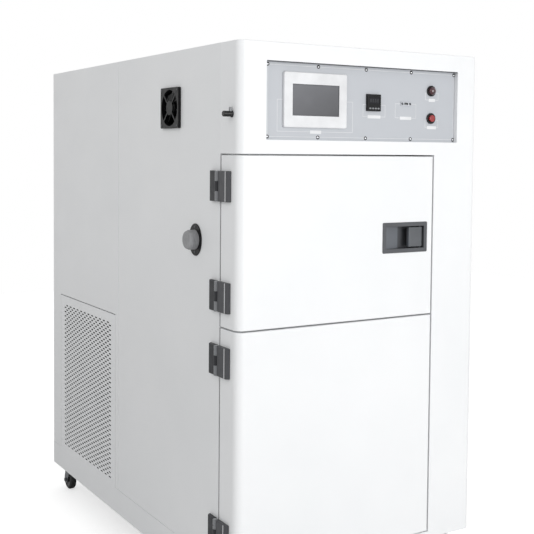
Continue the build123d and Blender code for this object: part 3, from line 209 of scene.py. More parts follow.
class ChamberPanel(bpy.types.PropertyGroup):
    """Painted outlines, labels, screws and the screen's edge on the control panel."""
    line: length_setting("Line", "Width of a painted outline", 1.2)
    film: length_setting("Film", "Thickness of the painted outlines", 0.15)
    label_height: length_setting("Label height", "Height of a blank label", 9.0)
    screen_edge: length_setting("Screen edge", "Width of the dark line around the glass", 1.6)
    screw: length_setting("Screw head", "Radius of a panel screw's head", 3.6)
    screw_columns: count_setting("Screws in a row", "Screws along each edge", 5, 2)
    screw_inset_left: length_setting("Left inset", "From the plate's left edge to a screw", 22.5)
    screw_inset_right: length_setting("Right inset", "From the plate's right edge to a screw", 16.0)
    screw_inset_up: length_setting("Upper inset", "From the plate's edge to a row of screws", 20.5)


class ChamberHinges(bpy.types.PropertyGroup):
    """The four door hinges."""
    height: length_setting("Height", "Height of one hinge", 83.0)
    knuckle: length_setting("Knuckle", "Radius of a knuckle", 6.5)
    knuckle_proud: length_setting("Knuckle stand-off", "How far the knuckles stand past the leaves", 4.5)
    leaf_gap: length_setting("Leaf gap", "From the pin to the near end of a leaf", 8.0)


class ChamberFan(bpy.types.PropertyGroup):
    """The exhaust fan."""
    blades: count_setting("Blades", "Number of blades", 7, 3)
    hub: length_setting("Hub", "Radius of the hub", 21.0)
    blade_span: angle_setting("Blade span", "Angle that one blade covers", 44)
    sweep: angle_setting("Sweep", "Forward sweep", 14)
    blade_thickness: length_setting("Blade thickness", "Thickness of a blade", 1.6)
    screw_inset: length_setting("Screw inset", "From the frame's edge to a screw", 7.75)


class ChamberPort(bpy.types.PropertyGroup):
    """The cable port."""
    bore: length_setting("Bore", "Radius of the port's bore", 25.3)
    tube_wall: length_setting("Tube wall", "Wall of the port's tube", 2.5)
    ribs: count_setting("Ribs", "Ribs around the plug's cap", 4)


class ChamberLatch(bpy.types.PropertyGroup):
    """The latch knob on the side."""
    knob: length_setting("Knob", "Radius of the knob", 7.8)
    collar: length_setting("Collar", "Radius of the collar", 9.2)
    tab_height: length_setting("Tab height", "Height of the tab above the knob's axis", 18.0)
    tab_width: length_setting("Tab width", "Width of the tab", 8.0)


class ChamberCastors(bpy.types.PropertyGroup):
    """The castors."""
    boss: length_setting("Boss", "Radius of a wheel's boss", 10.0)
    axle: length_setting("Axle", "Radius of the bore for the axle", 5.2)


class ChamberStage(bpy.types.PropertyGroup):
    """Light, floor and camera."""
    ambient: FloatProperty(name="Ambient", description="Strength of the even light", default=0.55, min=0)
    key: power_setting("Key light", "Power of the front light", 124.0)
    side: power_setting("Side light", "Power of the left light", 24.0)
    floor: colour_setting("Floor", "Colour of the floor", tone(236, 236, 236))
    glow: FloatProperty(name="Floor glow", description="Light added to the floor", default=0.56, min=0)
    lens: FloatProperty(name="Lens", description="Focal length in millimetres", default=66.6, min=1)
    yaw: angle_setting("Yaw", "Camera heading, to the right of straight on", 31.045)
    pitch: angle_setting("Pitch", "Camera tilt above the horizon", -2.77)
    roll: angle_setting("Roll", "Camera roll", 0.496)
    place: FloatVectorProperty(
        name="Camera place", description="Where the camera stands",
        default=(-1.6721, -2.9899, 1.3296), subtype="TRANSLATION",
    )
    rise: FloatProperty(name="Frame rise", description="Vertical shift of the picture", default=-0.1255)


# Shapes, in millimetres of the drawing frame

X, Y, Z = 0, 1, 2

# How a sheet's own plane lies for each way it can face, and the axis across it
FACINGS = {
    "front": (Matrix(((1, 0, 0), (0, 0, -1), (0, 1, 0))), Y),
    "left": (Matrix(((0, 0, -1), (-1, 0, 0), (0, 1, 0))), X),
}


def rectangle(across, up):
    """The four corners between two pairs of limits."""
    return [(across[0], up[0]), (across[1], up[0]), (across[1], up[1]), (across[0], up[1])]


def ellipse(centre, half_across, half_up, steps=64):
    """An ellipse, or a circle, as an outline."""
    turns = [2 * math.pi * step / steps for step in range(steps)]
    return [(centre[0] + half_across * math.cos(t), centre[1] + half_up * math.sin(t)) for t in turns]


def round_off(points, radius, closed=True, steps=5):
    """The same outline with its corners rounded."""
    rounded = []
    for index, point in enumerate(points):
        here = Vector(point)
        if not closed and index in (0, len(points) - 1):
            rounded.append(tuple(here))
            continue
        before = Vector(points[index - 1]) - here
        after = Vector(points[(index + 1) % len(points)]) - here
        reach = min(radius, before.length * 0.49, after.length * 0.49)
        start = here + before.normalized() * reach
        end = here + after.normalized() * reach
        for step in range(steps + 1):
            t = step / steps
            rounded.append(tuple(start * (1 - t) ** 2 + here * 2 * t * (1 - t) + end * t ** 2))
    return rounded


class Shape:
    """A mesh in the making."""

    def __init__(self):
        self.mesh = bmesh.new()

    def vertex(self, axis, along, pair):
        """A corner from its place along an axis and the pair of places across it."""
        place = list(pair)
        place.insert(axis, along)
        return self.mesh.verts.new(place)

    def prism(self, outline, axis, levels, soften=0.0):
        """A solid with an outline across an axis, between two levels, with softened edges."""
        rings = [[self.vertex(axis, level, point) for point in outline] for level in levels]
        faces = [self.mesh.faces.new(ring) for ring in rings]
        for index in range(len(outline)):
            following = (index + 1) % len(outline)
            corners = (rings[0][index], rings[0][following], rings[1][following], rings[1][index])
            faces.append(self.mesh.faces.new(corners))
        bmesh.ops.recalc_face_normals(self.mesh, faces=faces)
        if soften:
            edges = {edge for face in faces for edge in face.edges}
            sharp = [edge for edge in edges if edge.calc_face_angle(0) > math.radians(35)]
            bmesh.ops.bevel(
                self.mesh, geom=sharp, offset=soften, segments=3, profile=0.5, affect="EDGES"
            )
        return self

    def block(self, x, y, z, soften=0.0):
        """A box between three pairs of limits."""
        return self.prism(rectangle(x, y), Z, z, soften)

    def turned(self, profile, centre, axis, closed=False, steps=64):
        """A body of revolution from (along, radius) points, about an axis through a centre."""
        rings = []
        for along, radius in profile:
            circle = ellipse(centre, radius, radius, steps if radius else 1)
            rings.append([self.vertex(axis, along, point) for point in circle])
        if closed:
            rings.append(rings[0])
        faces = []
        for near, far in zip(rings, rings[1:]):
            for step in range(steps):
                following = (step + 1) % steps
                corners = [near[step % len(near)], near[following % len(near)]]
                corners += [far[following % len(far)], far[step % len(far)]]
                faces.append(self.mesh.faces.new(list(dict.fromkeys(corners))))
        bmesh.ops.recalc_face_normals(self.mesh, faces=faces)
        return self

    def head(self, face, profile, centre, axis, steps=24):
        """A screw's round head on a face, from (height, radius) points."""
        points = [(face - height, radius) for height, radius in profile]
        return self.turned(points, centre, axis, steps=steps)

    def sheet(self, outlines, level, thickness, bevel=0.0, facing="front"):
        """A plate with holes, from closed outlines on the plane that faces that way."""
        turn, axis = FACINGS[facing]
        mirrored = -1 if facing == "left" else 1
        curve = bpy.data.curves.new("outline", "CURVE")
        curve.dimensions = "2D"
        curve.fill_mode = "BOTH"
        curve.extrude = thickness / 2 - bevel
        curve.bevel_depth = bevel
        curve.bevel_resolution = 2
        curve.offset = -bevel
        for outline in outlines:
            spline = curve.splines.new("POLY")
            spline.points.add(len(outline) - 1)
            spline.use_cyclic_u = True
            for point, (across, up) in zip(spline.points, outline):
                point.co = (across * mirrored, up, 0, 1)
        holder = bpy.data.objects.new("outline", curve)
        flat = bpy.data.meshes.new_from_object(holder)
        shift = Vector((0, 0, 0))
        shift[axis] = level + thickness / 2
        flat.transform(Matrix.Translation(shift) @ turn.to_4x4())
        self.mesh.from_mesh(flat)
        bpy.data.objects.remove(holder)
        bpy.data.curves.remove(curve)
        bpy.data.meshes.remove(flat)
        return self

    def piece(self, name, finish, body, nodes=(), slot=None, crease=32):
        """Links the mesh as a piece that rides on a body and may stand for CAD nodes."""
        bmesh.ops.remove_doubles(self.mesh, verts=self.mesh.verts, dist=0.0005)
        data = bpy.data.meshes.new(name)
        self.mesh.to_mesh(data)
        self.mesh.free()
        data.transform(Matrix.Translation(at(0, 0, 0)) @ Matrix.Scale(MM, 4))
        data.materials.append(FINISHES[finish].material)
        data.shade_smooth()
        data.set_sharp_from_angle(angle=math.radians(crease))
        made = bpy.data.objects.new(name, data)
        bpy.context.scene.collection.objects.link(made)
        weighted = made.modifiers.new("weighted normals", "WEIGHTED_NORMAL")
        weighted.keep_sharp = True
        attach(made, body)
        if nodes:
            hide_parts(*nodes)
        return made


# Finishes

FINISHES = {}


def fill(node, values):
    """Sets a node's inputs by name, with _ for a space."""
    for name, value in values.items():
        node.inputs[name.replace("_", " ")].default_value = value
    return node


class Finish:
    """One material: a shader with helpers that add grain, tint, gloss and relief to it."""

    def __init__(self, name, colour, roughness, metallic=0.0):
        self.material = bpy.data.materials.new(name)
        self.material.use_nodes = True
        self.nodes = self.material.node_tree.nodes
        self.links = self.material.node_tree.links
        self.shader = self.nodes["Principled BSDF"]
        self.colour = tuple(colour)
        self.set(Base_Color=(*self.colour, 1), Roughness=roughness, Metallic=metallic)
        self.material.diffuse_color = (*self.colour, 1)
        self.height = None
        self.place = self.nodes.new("ShaderNodeTexCoord").outputs["Object"]
        FINISHES[name] = self

    def add(self, kind, **inputs):
        """A new node with its inputs set by name."""
        return fill(self.nodes.new("ShaderNode" + kind), inputs)

    def set(self, **inputs):
        """Sets the shader's own inputs by name."""
        fill(self.shader, inputs)
        return self

    def grain(self, per_metre, stretch=(1, 1, 1), detail=3.0, rough=0.55):
        """Noise with that many features in a metre, drawn out along the axes."""
        mapping = self.add("Mapping", Scale=stretch)
        noise = self.add("TexNoise", Scale=per_metre, Detail=detail, Roughness=rough)
        self.links.new(self.place, mapping.inputs["Vector"])
        self.links.new(mapping.outputs["Vector"], noise.inputs["Vector"])
        return noise.outputs["Fac"]

    def spread(self, source, low, high, inner=(0.3, 0.7)):
        """Turns a 0 to 1 signal into a range."""
        ranged = self.add("MapRange", From_Min=inner[0], From_Max=inner[1], To_Min=low, To_Max=high)
        self.links.new(source, ranged.inputs["Value"])
        return ranged.outputs["Result"]

    def blend(self, factor, first, second):
        """Lays a mix of two colours on the shader."""
        mix = self.nodes.new("ShaderNodeMix")
        mix.data_type = "RGBA"
        mix.inputs["A"].default_value = (*first, 1)
        mix.inputs["B"].default_value = (*second, 1)
        self.links.new(factor, mix.inputs["Factor"])
        self.links.new(mix.outputs["Result"], self.shader.inputs["Base Color"])
        return self

    def tint(self, source, darker, lighter=1.0, hue=(1, 1, 1)):
        """Lets the colour wander between a darker and a lighter share of itself."""
        dark = [c * darker * h for c, h in zip(self.colour, hue)]
        light = [min(c * lighter, 1) for c in self.colour]
        return self.blend(self.spread(source, 0, 1), dark, light)

    def gloss(self, source, low, high):
        """Lets the roughness wander between two values."""
        self.links.new(self.spread(source, low, high), self.shader.inputs["Roughness"])
        return self

    def relief(self, source, depth, strength=1.0):
        """Adds bump of a real depth in metres."""
        bump = self.add("Bump", Strength=strength, Distance=depth)
        self.links.new(source, bump.inputs["Height"])
        if self.height is not None:
            self.links.new(self.height, bump.inputs["Normal"])
        self.height = bump.outputs["Normal"]
        self.links.new(self.height, self.shader.inputs["Normal"])
        return self


def powder_coat(name, colour):
    """Baked powder coat: orange peel, soft cloudy gloss, a trace of handling dust."""
    finish = Finish(name, colour, 0.42)
    finish.tint(finish.grain(2.3, detail=4), 0.965, 1.0, (0.995, 1.0, 1.003))
    finish.gloss(finish.grain(9.0, detail=5), 0.34, 0.5)
    finish.relief(finish.grain(420.0, detail=2), 0.00006, 0.5)
    return finish.relief(finish.grain(38.0, detail=1), 0.00008, 0.25)


def moulded(name, colour, roughness=0.45, texture=1500.0, specular=0.5):
    """Injection-moulded plastic with a fine spark-eroded texture."""
    finish = Finish(name, colour, roughness).set(Specular_IOR_Level=specular)
    finish.tint(finish.grain(16.0, detail=4), 0.9, 1.06)
    finish.gloss(finish.grain(60.0, detail=4), roughness - 0.08, roughness + 0.1)
    return finish.relief(finish.grain(texture, detail=2), 0.00005, 0.5)


def metal(name, colour, roughness, brushed=(1, 1, 1), per_metre=900.0, spread=0.08):
    """Bare or plated metal, with brush marks drawn out along the long axis."""
    finish = Finish(name, colour, roughness, 1.0)
    finish.tint(finish.grain(7.0, detail=4), 0.86, 1.05)
    finish.gloss(finish.grain(per_metre, brushed, 3), roughness - spread, roughness + spread)
    return finish.relief(finish.grain(per_metre, brushed, 2), 0.00002, 0.35)


def rubber(name, colour, roughness=0.72):
    """Matt elastomer with a dusty bloom."""
    finish = Finish(name, colour, roughness)
    finish.tint(finish.grain(45.0, detail=5), 0.85, 1.15)
    finish.gloss(finish.grain(120.0, detail=4), roughness - 0.1, roughness + 0.12)
    return finish.relief(finish.grain(900.0, detail=3), 0.00008, 0.6)


def spangled(name):
    """Galvanised sheet with its zinc spangle."""
    finish = Finish(name, tone(176, 180, 184), 0.42, 1.0)
    cells = finish.add("TexVoronoi", Scale=90.0)
    finish.links.new(finish.place, cells.inputs["Vector"])
    finish.tint(cells.outputs["Color"], 0.78, 1.08)
    finish.gloss(cells.outputs["Distance"], 0.34, 0.52)
    return finish.relief(cells.outputs["Distance"], 0.00002, 0.3)


def foamed(name):
    """Open face of rigid foam."""
    finish = Finish(name, tone(222, 208, 160), 0.92)
    finish.tint(finish.grain(60.0, detail=6), 0.86, 1.05)
    return finish.relief(finish.grain(700.0, detail=5), 0.0004, 0.8)


def finned(name):
    """Aluminium fins with fine ripple along each blade."""
    finish = metal(name, tone(196, 199, 203), 0.36, (1, 6, 1), 500.0)
    return finish.relief(finish.grain(260.0, (1, 1, 5)), 0.0001, 0.4)


def glass(name, colour):
    """Dark glass over a switched-off display, with a painted reflection that makes it paler towards its top
    left.
    """
    finish = Finish(name, colour, 0.12)
    # Painted reflection: the base colour runs from darker at the bottom right to paler at the top left,
    # standing in for the surroundings reflected in the glass.
    across, up = -2.6, 5.2
    slope = finish.add("VectorMath")
    slope.operation = "DOT_PRODUCT"
    slope.inputs[1].default_value = (across, 0.0, up)
    finish.links.new(finish.place, slope.inputs[0])
    low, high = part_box("screen")
    ends = (across * high.x + up * low.z, across * low.x + up * high.z)
    share = finish.spread(slope.outputs["Value"], 0, 1, ends)
    finish.blend(share, [c * 0.72 for c in finish.colour], [c * 1.5 for c in finish.colour])
    finish.gloss(finish.grain(30.0, detail=4), 0.09, 0.2)
    return finish.set(Coat_Weight=0.4, Coat_Roughness=0.05)


def translucent_red(name, colour):
    """Clear red lens: deep, glossy, slightly see-through."""
    finish = Finish(name, colour, 0.14)
    finish.tint(finish.grain(140.0, detail=3), 0.75, 1.15)
    finish.gloss(finish.grain(90.0), 0.1, 0.2)
    finish.set(Subsurface_Weight=0.15, Subsurface_Scale=0.004)
    return finish.set(Coat_Weight=0.8, Coat_Roughness=0.06)


class CHAMBER_OT_finishes(bpy.types.Operator):
    """Make every finish and lay it on the pieces of the frame"""
    bl_idname = "chamber.finishes"
    bl_label = "Finishes"

    def execute(self, context):
        wanted = context.scene.chamber_finishes
        powder_coat("front_paint", wanted.front_paint)
        powder_coat("cabinet_paint", wanted.side_paint)
        powder_coat("control_grey", wanted.panel_grey)
        moulded("white_plastic", wanted.white_moulding, 0.38)
        moulded("label_white", wanted.white_moulding, 0.5, 600.0)
        moulded("charcoal_plastic", wanted.charcoal, 0.5)
        moulded("black_plastic", wanted.black_plastic, 0.36, specular=0.2)
        translucent_red("red_plastic", wanted.cap_red)
        glass("screen_glass", wanted.screen_glass)
        rubber("grey_rubber", wanted.port_grey, 0.62)
        rubber("seal_rubber", tone(70, 72, 74))
        rubber("seal_black", tone(44, 45, 47))
        rubber("castor_tyre", wanted.tyre_black, 0.5)
        moulded("hinge_zinc", wanted.hinge_grey, 0.42, specular=0.3)
        metal("bright_metal", tone(214, 216, 218), 0.2)
        metal("stainless", tone(196, 198, 200), 0.3, (1, 14, 14), 420.0)
        metal("castor_steel", tone(120, 122, 125), 0.38)
        spangled("galvanised")
        foamed("foam")
        finned("coil_fins")
        moulded("gloss_black", wanted.black_plastic, 0.2, 300.0, 0.35)
        translucent_red("lamp_red", wanted.lens_red)
        moulded("outline_white", tone(214, 215, 217), 0.5, 600.0)
        # Painted highlight: near-white ridges on the door halves of the hinges.
        moulded("hinge_ridge_highlight", tone(226, 227, 229), 0.4)
        moulded("key_grey", tone(132, 134, 137), 0.45)
        moulded("plate_grey", wanted.finger_plate, 0.42)
        moulded("paddle_grey", wanted.paddle, 0.42)
        # Painted highlight: a paler copy of the hinge metal for the door knuckles.
        moulded("hinge_edge", wanted.hinge_edge, 0.3)
        # Painted shade: a darker copy of the hinge metal for the cabinet halves and their knuckle.
        moulded("cabinet_hinge_shade", wanted.cabinet_hinge_shade, 0.42, specular=0.25)
        metal("dark_metal", tone(90, 92, 95), 0.34)
        moulded("display_glass", tone(24, 24, 29), 0.16, 200.0, 0.3)
        powder_coat("machine_black", tone(34, 35, 37))
        powder_coat("motor_grey", tone(120, 124, 128))
        for cad_object in frame["nodes"].values():
            for slot in cad_object.material_slots:
                slot.material = FINISHES[slot.material.name.split(".")[0]].material
        return {"FINISHED"}


# Pieces

class CHAMBER_OT_vent_panel(bpy.types.Operator):
    """Make the slotted vent panel in the left rear side"""
    bl_idname = "chamber.vent_panel"
    bl_label = "Vent panel"

    def execute(self, context):
        wanted = context.scene.chamber_vents
        x, y, z = local_box("left_vent_panel")
        pitch = wanted.pitch_along / MM
        row_pitch = wanted.pitch_rows / MM
        half_length = wanted.slot_length / MM / 2
        half_height = wanted.slot_height / MM / 2
        start = middle(y) - pitch * (wanted.columns - 1) / 2
        lowest = z[0] + wanted.lowest_row / MM
        rows = int((z[1] - wanted.top_margin / MM - lowest) / row_pitch) + 1
        outlines = [rectangle(y, z)]
        for row in range(rows):
            offset = row % 2
            for column in range(wanted.columns - offset):
                centre = start + pitch * (column + offset / 2)
                level = lowest + row_pitch * row
                slot = rectangle(about(centre, half_length), about(level, half_height))
                outlines.append(round_off(slot, half_height * 1.5, steps=3))
        wall = wanted.sheet / MM
        shape = Shape().sheet(outlines, x[0], wall, facing="left")
        for edge in ((y[0], y[0] + wall), (y[1] - wall, y[1])):
            shape.block((x[0] + wall / 2, x[1]), edge, z)
        for edge in ((z[0], z[0] + wall), (z[1] - wall, z[1])):
            shape.block((x[0] + wall / 2, x[1]), within(y, wall), edge)
        shape.piece("vent_panel", "cabinet_paint", "cabinet", ["left_vent_panel"])
        return {"FINISHED"}


class CHAMBER_OT_panel_marks(bpy.types.Operator):
    """Make the painted outlines, blank labels and screws of the control panel"""
    bl_idname = "chamber.panel_marks"
    bl_label = "Panel outlines and screws"

    def execute(self, context):
        wanted = context.scene.chamber_panel
        x, y, z = local_box("control_panel")
        face = y[0]
        line = wanted.line / MM
        film = wanted.film / MM
        label_height = wanted.label_height / MM
        outlines = Shape()
        labels = Shape()
        for node, aside, drop, width, height, label_width in PANEL_OUTLINES:
            device = local_box(node)
            centre = middle(device[X]) + aside
            low = middle(device[Z]) - drop
            outer = (about(centre, width / 2), (low, low + height))
            inner = [within(limits, line) for limits in outer]
            outlines.sheet([rectangle(*outer), rectangle(*inner)], face - film, film)
            plate = rectangle(about(centre, label_width / 2), about(low, label_height / 2))
            labels.sheet([round_off(plate, 1.0)], face - 3 * film, 3 * film, film)
        outlines.piece("panel_outlines", "outline_white", "cabinet", slot="white_plastic")
        labels.piece("panel_labels", "label_white", "cabinet", slot="white_plastic")
        self.screws(wanted, x, face, z)
        return {"FINISHED"}

    def screws(self, wanted, x, face, z):
        radius = wanted.screw / MM
        heads = Shape()
        rings = Shape()
        span = (x[0] + wanted.screw_inset_left / MM, x[1] - wanted.screw_inset_right / MM)
        levels = (z[0] + wanted.screw_inset_up / MM, z[1] - wanted.screw_inset_up / MM)
        shares = ((0.6, 0), (0.55, 0.45), (0.35, 0.8), (0, 1))
        dome = [(radius * height, radius * reach) for height, reach in shares]
        proud = face - 0.5
        # A black ring around each screw head: painted shadow round the head.
        ring = [(face, radius * 1.5), (proud, radius * 1.45), (proud, radius), (face, radius)]
        for column in range(wanted.screw_columns):
            across = span[0] + (span[1] - span[0]) * column / (wanted.screw_columns - 1)
            for level in levels:
                heads.head(face, dome, (across, level), Y, 32)
                rings.turned(ring, (across, level), Y, closed=True, steps=32)
        line = wanted.line / MM
        film = wanted.film / MM
        # Painted highlight: a thin white line through the screws stands in for the lit edge of the panel
        # plate.
        inner = rectangle(within(span, line), within(levels, line))
        plate_edge_highlight = [round_off(outline, 6.0) for outline in (rectangle(span, levels), inner)]
        Shape().sheet(plate_edge_highlight, face - film, film).piece(
            "panel_edge_highlight", "outline_white", "cabinet", slot="white_plastic"
        )
        heads.piece("panel_screws", "bright_metal", "cabinet")
        # The black rings stand in for the shadow around the screw heads.
        rings.piece("panel_screw_shadow_rings", "black_plastic", "cabinet")


class CHAMBER_OT_panel_devices(bpy.types.Operator):
    """Make the finer parts of the screen, controller, socket, lamp and button"""
    bl_idname = "chamber.panel_devices"
    bl_label = "Panel devices"

    def execute(self, context):
        wanted = context.scene.chamber_panel
        self.screen_edge(wanted)
        self.controller()
        self.socket()
        self.lamp()
        self.button()
        return {"FINISHED"}

    def screen_edge(self, wanted):
        x, z = local_box("screen")[::2]
        edge = wanted.screen_edge / MM
        frame_front = local_box("screen_housing")[Y][0]
        inner = rectangle(within(x, edge), within(z, edge))
        Shape().sheet(
            [rectangle(x, z), round_off(inner, edge)], frame_front + edge / 2, edge / 2, 0.1
        ).piece("screen_edge", "charcoal_plastic", "cabinet")

    def controller(self):
        x, y, z = local_box("temperature_controller")
        front = y[0]
        width = x[1] - x[0]
        raised = middle(z) + width * 0.12
        display = rectangle(about(middle(x), width * 0.38), about(raised, width * 0.19))
        Shape().sheet([round_off(display, 1.0)], front + 0.9, 1.0, 0.2).piece(
            "controller_display", "display_glass", "cabinet", slot="screen_glass"
        )
        digits = Shape()
        for index in range(4):
            across = middle(x) + (index - 1.5) * width * 0.17
            for share in (0.19, 0.12, 0.05):
                level = middle(z) + width * share
                bar = rectangle(about(across, width * 0.05), about(level, width * 0.008))
                digits.sheet([bar], front + 0.8, 0.15)
        digits.piece("controller_segments", "charcoal_plastic", "cabinet")
        keys = Shape()
        for index in range(4):
            across = middle(x) + (index - 1.5) * width * 0.2
            key = rectangle(about(across, width * 0.07), about(middle(z) - width * 0.34, width * 0.045))
            keys.sheet([round_off(key, 1.2)], front - 0.1, 0.9, 0.25)
        keys.piece("controller_keys", "key_grey", "cabinet", slot="charcoal_plastic")

    def socket(self):
        x, y, z = local_box("data_socket")
        front = y[0]
        centre = (middle(x), middle(z))
        height = z[1] - z[0]
        plate = round_off(rectangle(within(x, -0.2), within(z, -0.2)), 3.0)
        mouth = rectangle(about(centre[0], height * 0.5), about(centre[1], height * 0.24))
        Shape().sheet([plate, mouth], front - 0.4, 2.3, 0.2).piece(
            "socket_plate", "control_grey", "cabinet"
        )
        inner = rectangle(about(centre[0], height * 0.44), about(centre[1], height * 0.19))
        Shape().sheet([mouth, inner], front - 0.6, 8.0, 0.1).piece(
            "socket_shell", "black_plastic", "cabinet"
        )
        screws = Shape()
        head = ((2.2, 0), (2.0, 2.0), (1.2, 3.4), (0.4, 3.6))
        for side in (-1, 1):
            screws.head(front, head, (centre[0] + side * height * 1.1, centre[1]), Y)
        screws.piece("socket_screws", "dark_metal", "cabinet", slot="bright_metal")

    def lamp(self):
        x, y = local_box("device_bezels")[:Z]
        face = local_box("control_panel")[Y][0]
        lens = local_box("alarm_lamp")
        button = local_box("power_button")
        ring_radius = (x[1] - x[0]) / 2
        body_radius = 11.1
        rings = Shape()
        for node, bore in ((lens, 11.6), (button, 10.15)):
            centre = (middle(node[X]), middle(node[Z]))
            outline = [(face, ring_radius), (y[0], ring_radius), (y[0], bore), (face + 12, bore)]
            outline += [(face + 12, body_radius), (face, body_radius)]
            rings.turned(round_off(outline, 1.1), centre, Y, closed=True, steps=72)
            body = [(face + 3, body_radius), (y[1] - 1, body_radius), (y[1], 10.0), (y[1], 0)]
            rings.turned(body, centre, Y, steps=48)
        rings.piece("device_rings", "gloss_black", "cabinet", ["device_bezels"], slot="black_plastic")
        centre = (middle(lens[X]), middle(lens[Z]))
        radius = (lens[X][1] - lens[X][0]) / 2
        shoulder = lens[Y][1] - (lens[Y][1] - lens[Y][0]) * 0.3
        dome = [(lens[Y][1], radius)]
        for step in range(13):
            turn = math.pi / 2 * step / 12
            along = shoulder - (shoulder - lens[Y][0]) * math.sin(turn)
            dome.append((along, radius * 0.96 * math.cos(turn) if step < 12 else 0))
        Shape().turned(dome, centre, Y, steps=72).piece(
            "lamp_lens", "lamp_red", "cabinet", ["alarm_lamp"], "red_plastic"
        )

    def button(self):
        x, y, z = local_box("power_button")
        radius = (x[1] - x[0]) / 2
        cap = [(y[1], 0), (y[1], radius), (y[0], radius), (y[0], radius * 0.75), (y[0] + 0.7, 0)]
        Shape().turned(round_off(cap, 1.2, closed=False), (middle(x), middle(z)), Y, steps=72).piece(
            "button_cap", "red_plastic", "power_button", ["power_button"]
        )


class CHAMBER_OT_hinges(bpy.types.Operator):
    """Make the four hinges: door halves, cabinet halves, knuckles and pins"""
    bl_idname = "chamber.hinges"
    bl_label = "Hinges"

    def execute(self, context):
        wanted = context.scene.chamber_hinges
        height = wanted.height / MM
        third = height / 3
        radius = wanted.knuckle / MM
        pin_radius = radius * 0.54
        gap = wanted.leaf_gap / MM
        x, y = local_box("cabinet_hinge_leaves")[:Z]
        pin = (x[0] + radius, y[0] + radius)
        out = x[0] + wanted.knuckle_proud / MM
        cabinet_leaves, pins = Shape(), Shape()
        for door in ("upper_door", "lower_door"):
            node = door + "_hinge_leaves"
            leaf_y, leaf_z = local_box(node)[Y:]
            leaves, knuckles, lines = Shape(), Shape(), Shape()
            for low in (leaf_z[0], leaf_z[1] - height):
                high = low + height
                near = pin[1] - gap
                self.leaf(leaves, out, near, leaf_y[0], (low, high))
                self.line(lines, out, leaf_y[0], (low, high))
                for span in ((low, low + third), (low + 2 * third, high)):
                    self.knuckle(knuckles, pin, radius, span, (out, near))
                near = pin[1] + gap
                self.leaf(cabinet_leaves, out, near, y[1], (low, high))
                self.knuckle(cabinet_leaves, pin, radius, (low + third, low + 2 * third), (out, near))
                pins.turned([(low, 0), (low, pin_radius), (high, pin_radius), (high, 0)], pin, Z, steps=32)
            leaves.piece(door + "_hinge_halves", "hinge_zinc", door, [node])
            # The door knuckles use a paler copy of the hinge metal as a painted highlight.
            knuckles.piece(door + "_hinge_knuckles", "hinge_edge", door, slot="hinge_zinc")
            # The ridges near the free ends are near white as a painted highlight.
            lines.piece(door + "_hinge_ridge_highlights", "hinge_ridge_highlight", door, slot="hinge_zinc")
        # The cabinet halves and their knuckle use a darker copy of the hinge metal as painted shade.
        cabinet_leaves.piece(
            "cabinet_hinge_halves", "cabinet_hinge_shade", "cabinet", ["cabinet_hinge_leaves"], "hinge_zinc"
        )
        pins.piece("hinge_pins", "bright_metal", "cabinet", slot="hinge_zinc")
        return {"FINISHED"}

    def leaf(self, shape, out, near, far, z):
        """A block with a sloped far end."""
        slope = math.copysign(7.0, near - far)
        points = [(0, near), (out, near), (out, far + slope), (out * 0.4, far), (0, far)]
        shape.prism(points, Z, z, 1.0)

    def line(self, shape, out, far, z):
        """A raised ridge near the free end of a door half, coloured near white as a painted highlight of
        its lit edge.
        """
        setback, width = 12.5, 3.0
        start = far + setback
        shape.block(about(out, 0.5), (start, start + width), within(z, 1.0), 0.4)

    def knuckle(self, shape, pin, radius, span, web):
        """One knuckle with softened ends, and the web to its leaf."""
        low, high = within(span, 0.15)
        bore = radius * 0.55
        ring = [(low, radius), (high, radius), (high, bore), (low, bore)]
        shape.turned(round_off(ring, 0.8), pin, Z, closed=True, steps=48)
        out, near = web
        towards = math.copysign(bore, near - pin[1])
        web_depth = 7.0
        shape.block((out, out + web_depth), sorted((pin[1] + towards, near)), (low, high))


class CHAMBER_OT_handle(bpy.types.Operator):
    """Make the finger plate of the door handle and the face of its paddle"""
    bl_idname = "chamber.handle"
    bl_label = "Door handle"

    def execute(self, context):
        x, z = local_box("handle_tray")[::2]
        paddle = local_box("handle_paddle")
        rim, skin, plate = 12.0, 0.4, 53.0
        shallow, deep = 3.0, 14.0
        slope = [(x[0] + rim, shallow - skin), (x[0] + rim + plate, deep - skin)]
        outline = slope + [(across, along + skin) for across, along in reversed(slope)]
        Shape().prism(outline, Z, within(z, rim + 0.3)).piece(
            "finger_plate", "plate_grey", "upper_door", slot="charcoal_plastic"
        )
        left, right = paddle[X][0], x[1] - rim - 4.0
        face = paddle[Y][0]
        Shape().block((left, right), (face - 0.6, face + 2.0), paddle[Z], 1.4).piece(
            "paddle_face", "paddle_grey", "handle_paddle", slot="charcoal_plastic"
        )
        # The lip's paler grey is a painted highlight along the paddle's curved left edge.
        Shape().block((left - 0.3, left + 2.2), (face - 0.9, face + 9.0), paddle[Z], 0.9).piece(
            "paddle_lip_highlight", "plate_grey", "handle_paddle", slot="charcoal_plastic"
        )
        return {"FINISHED"}


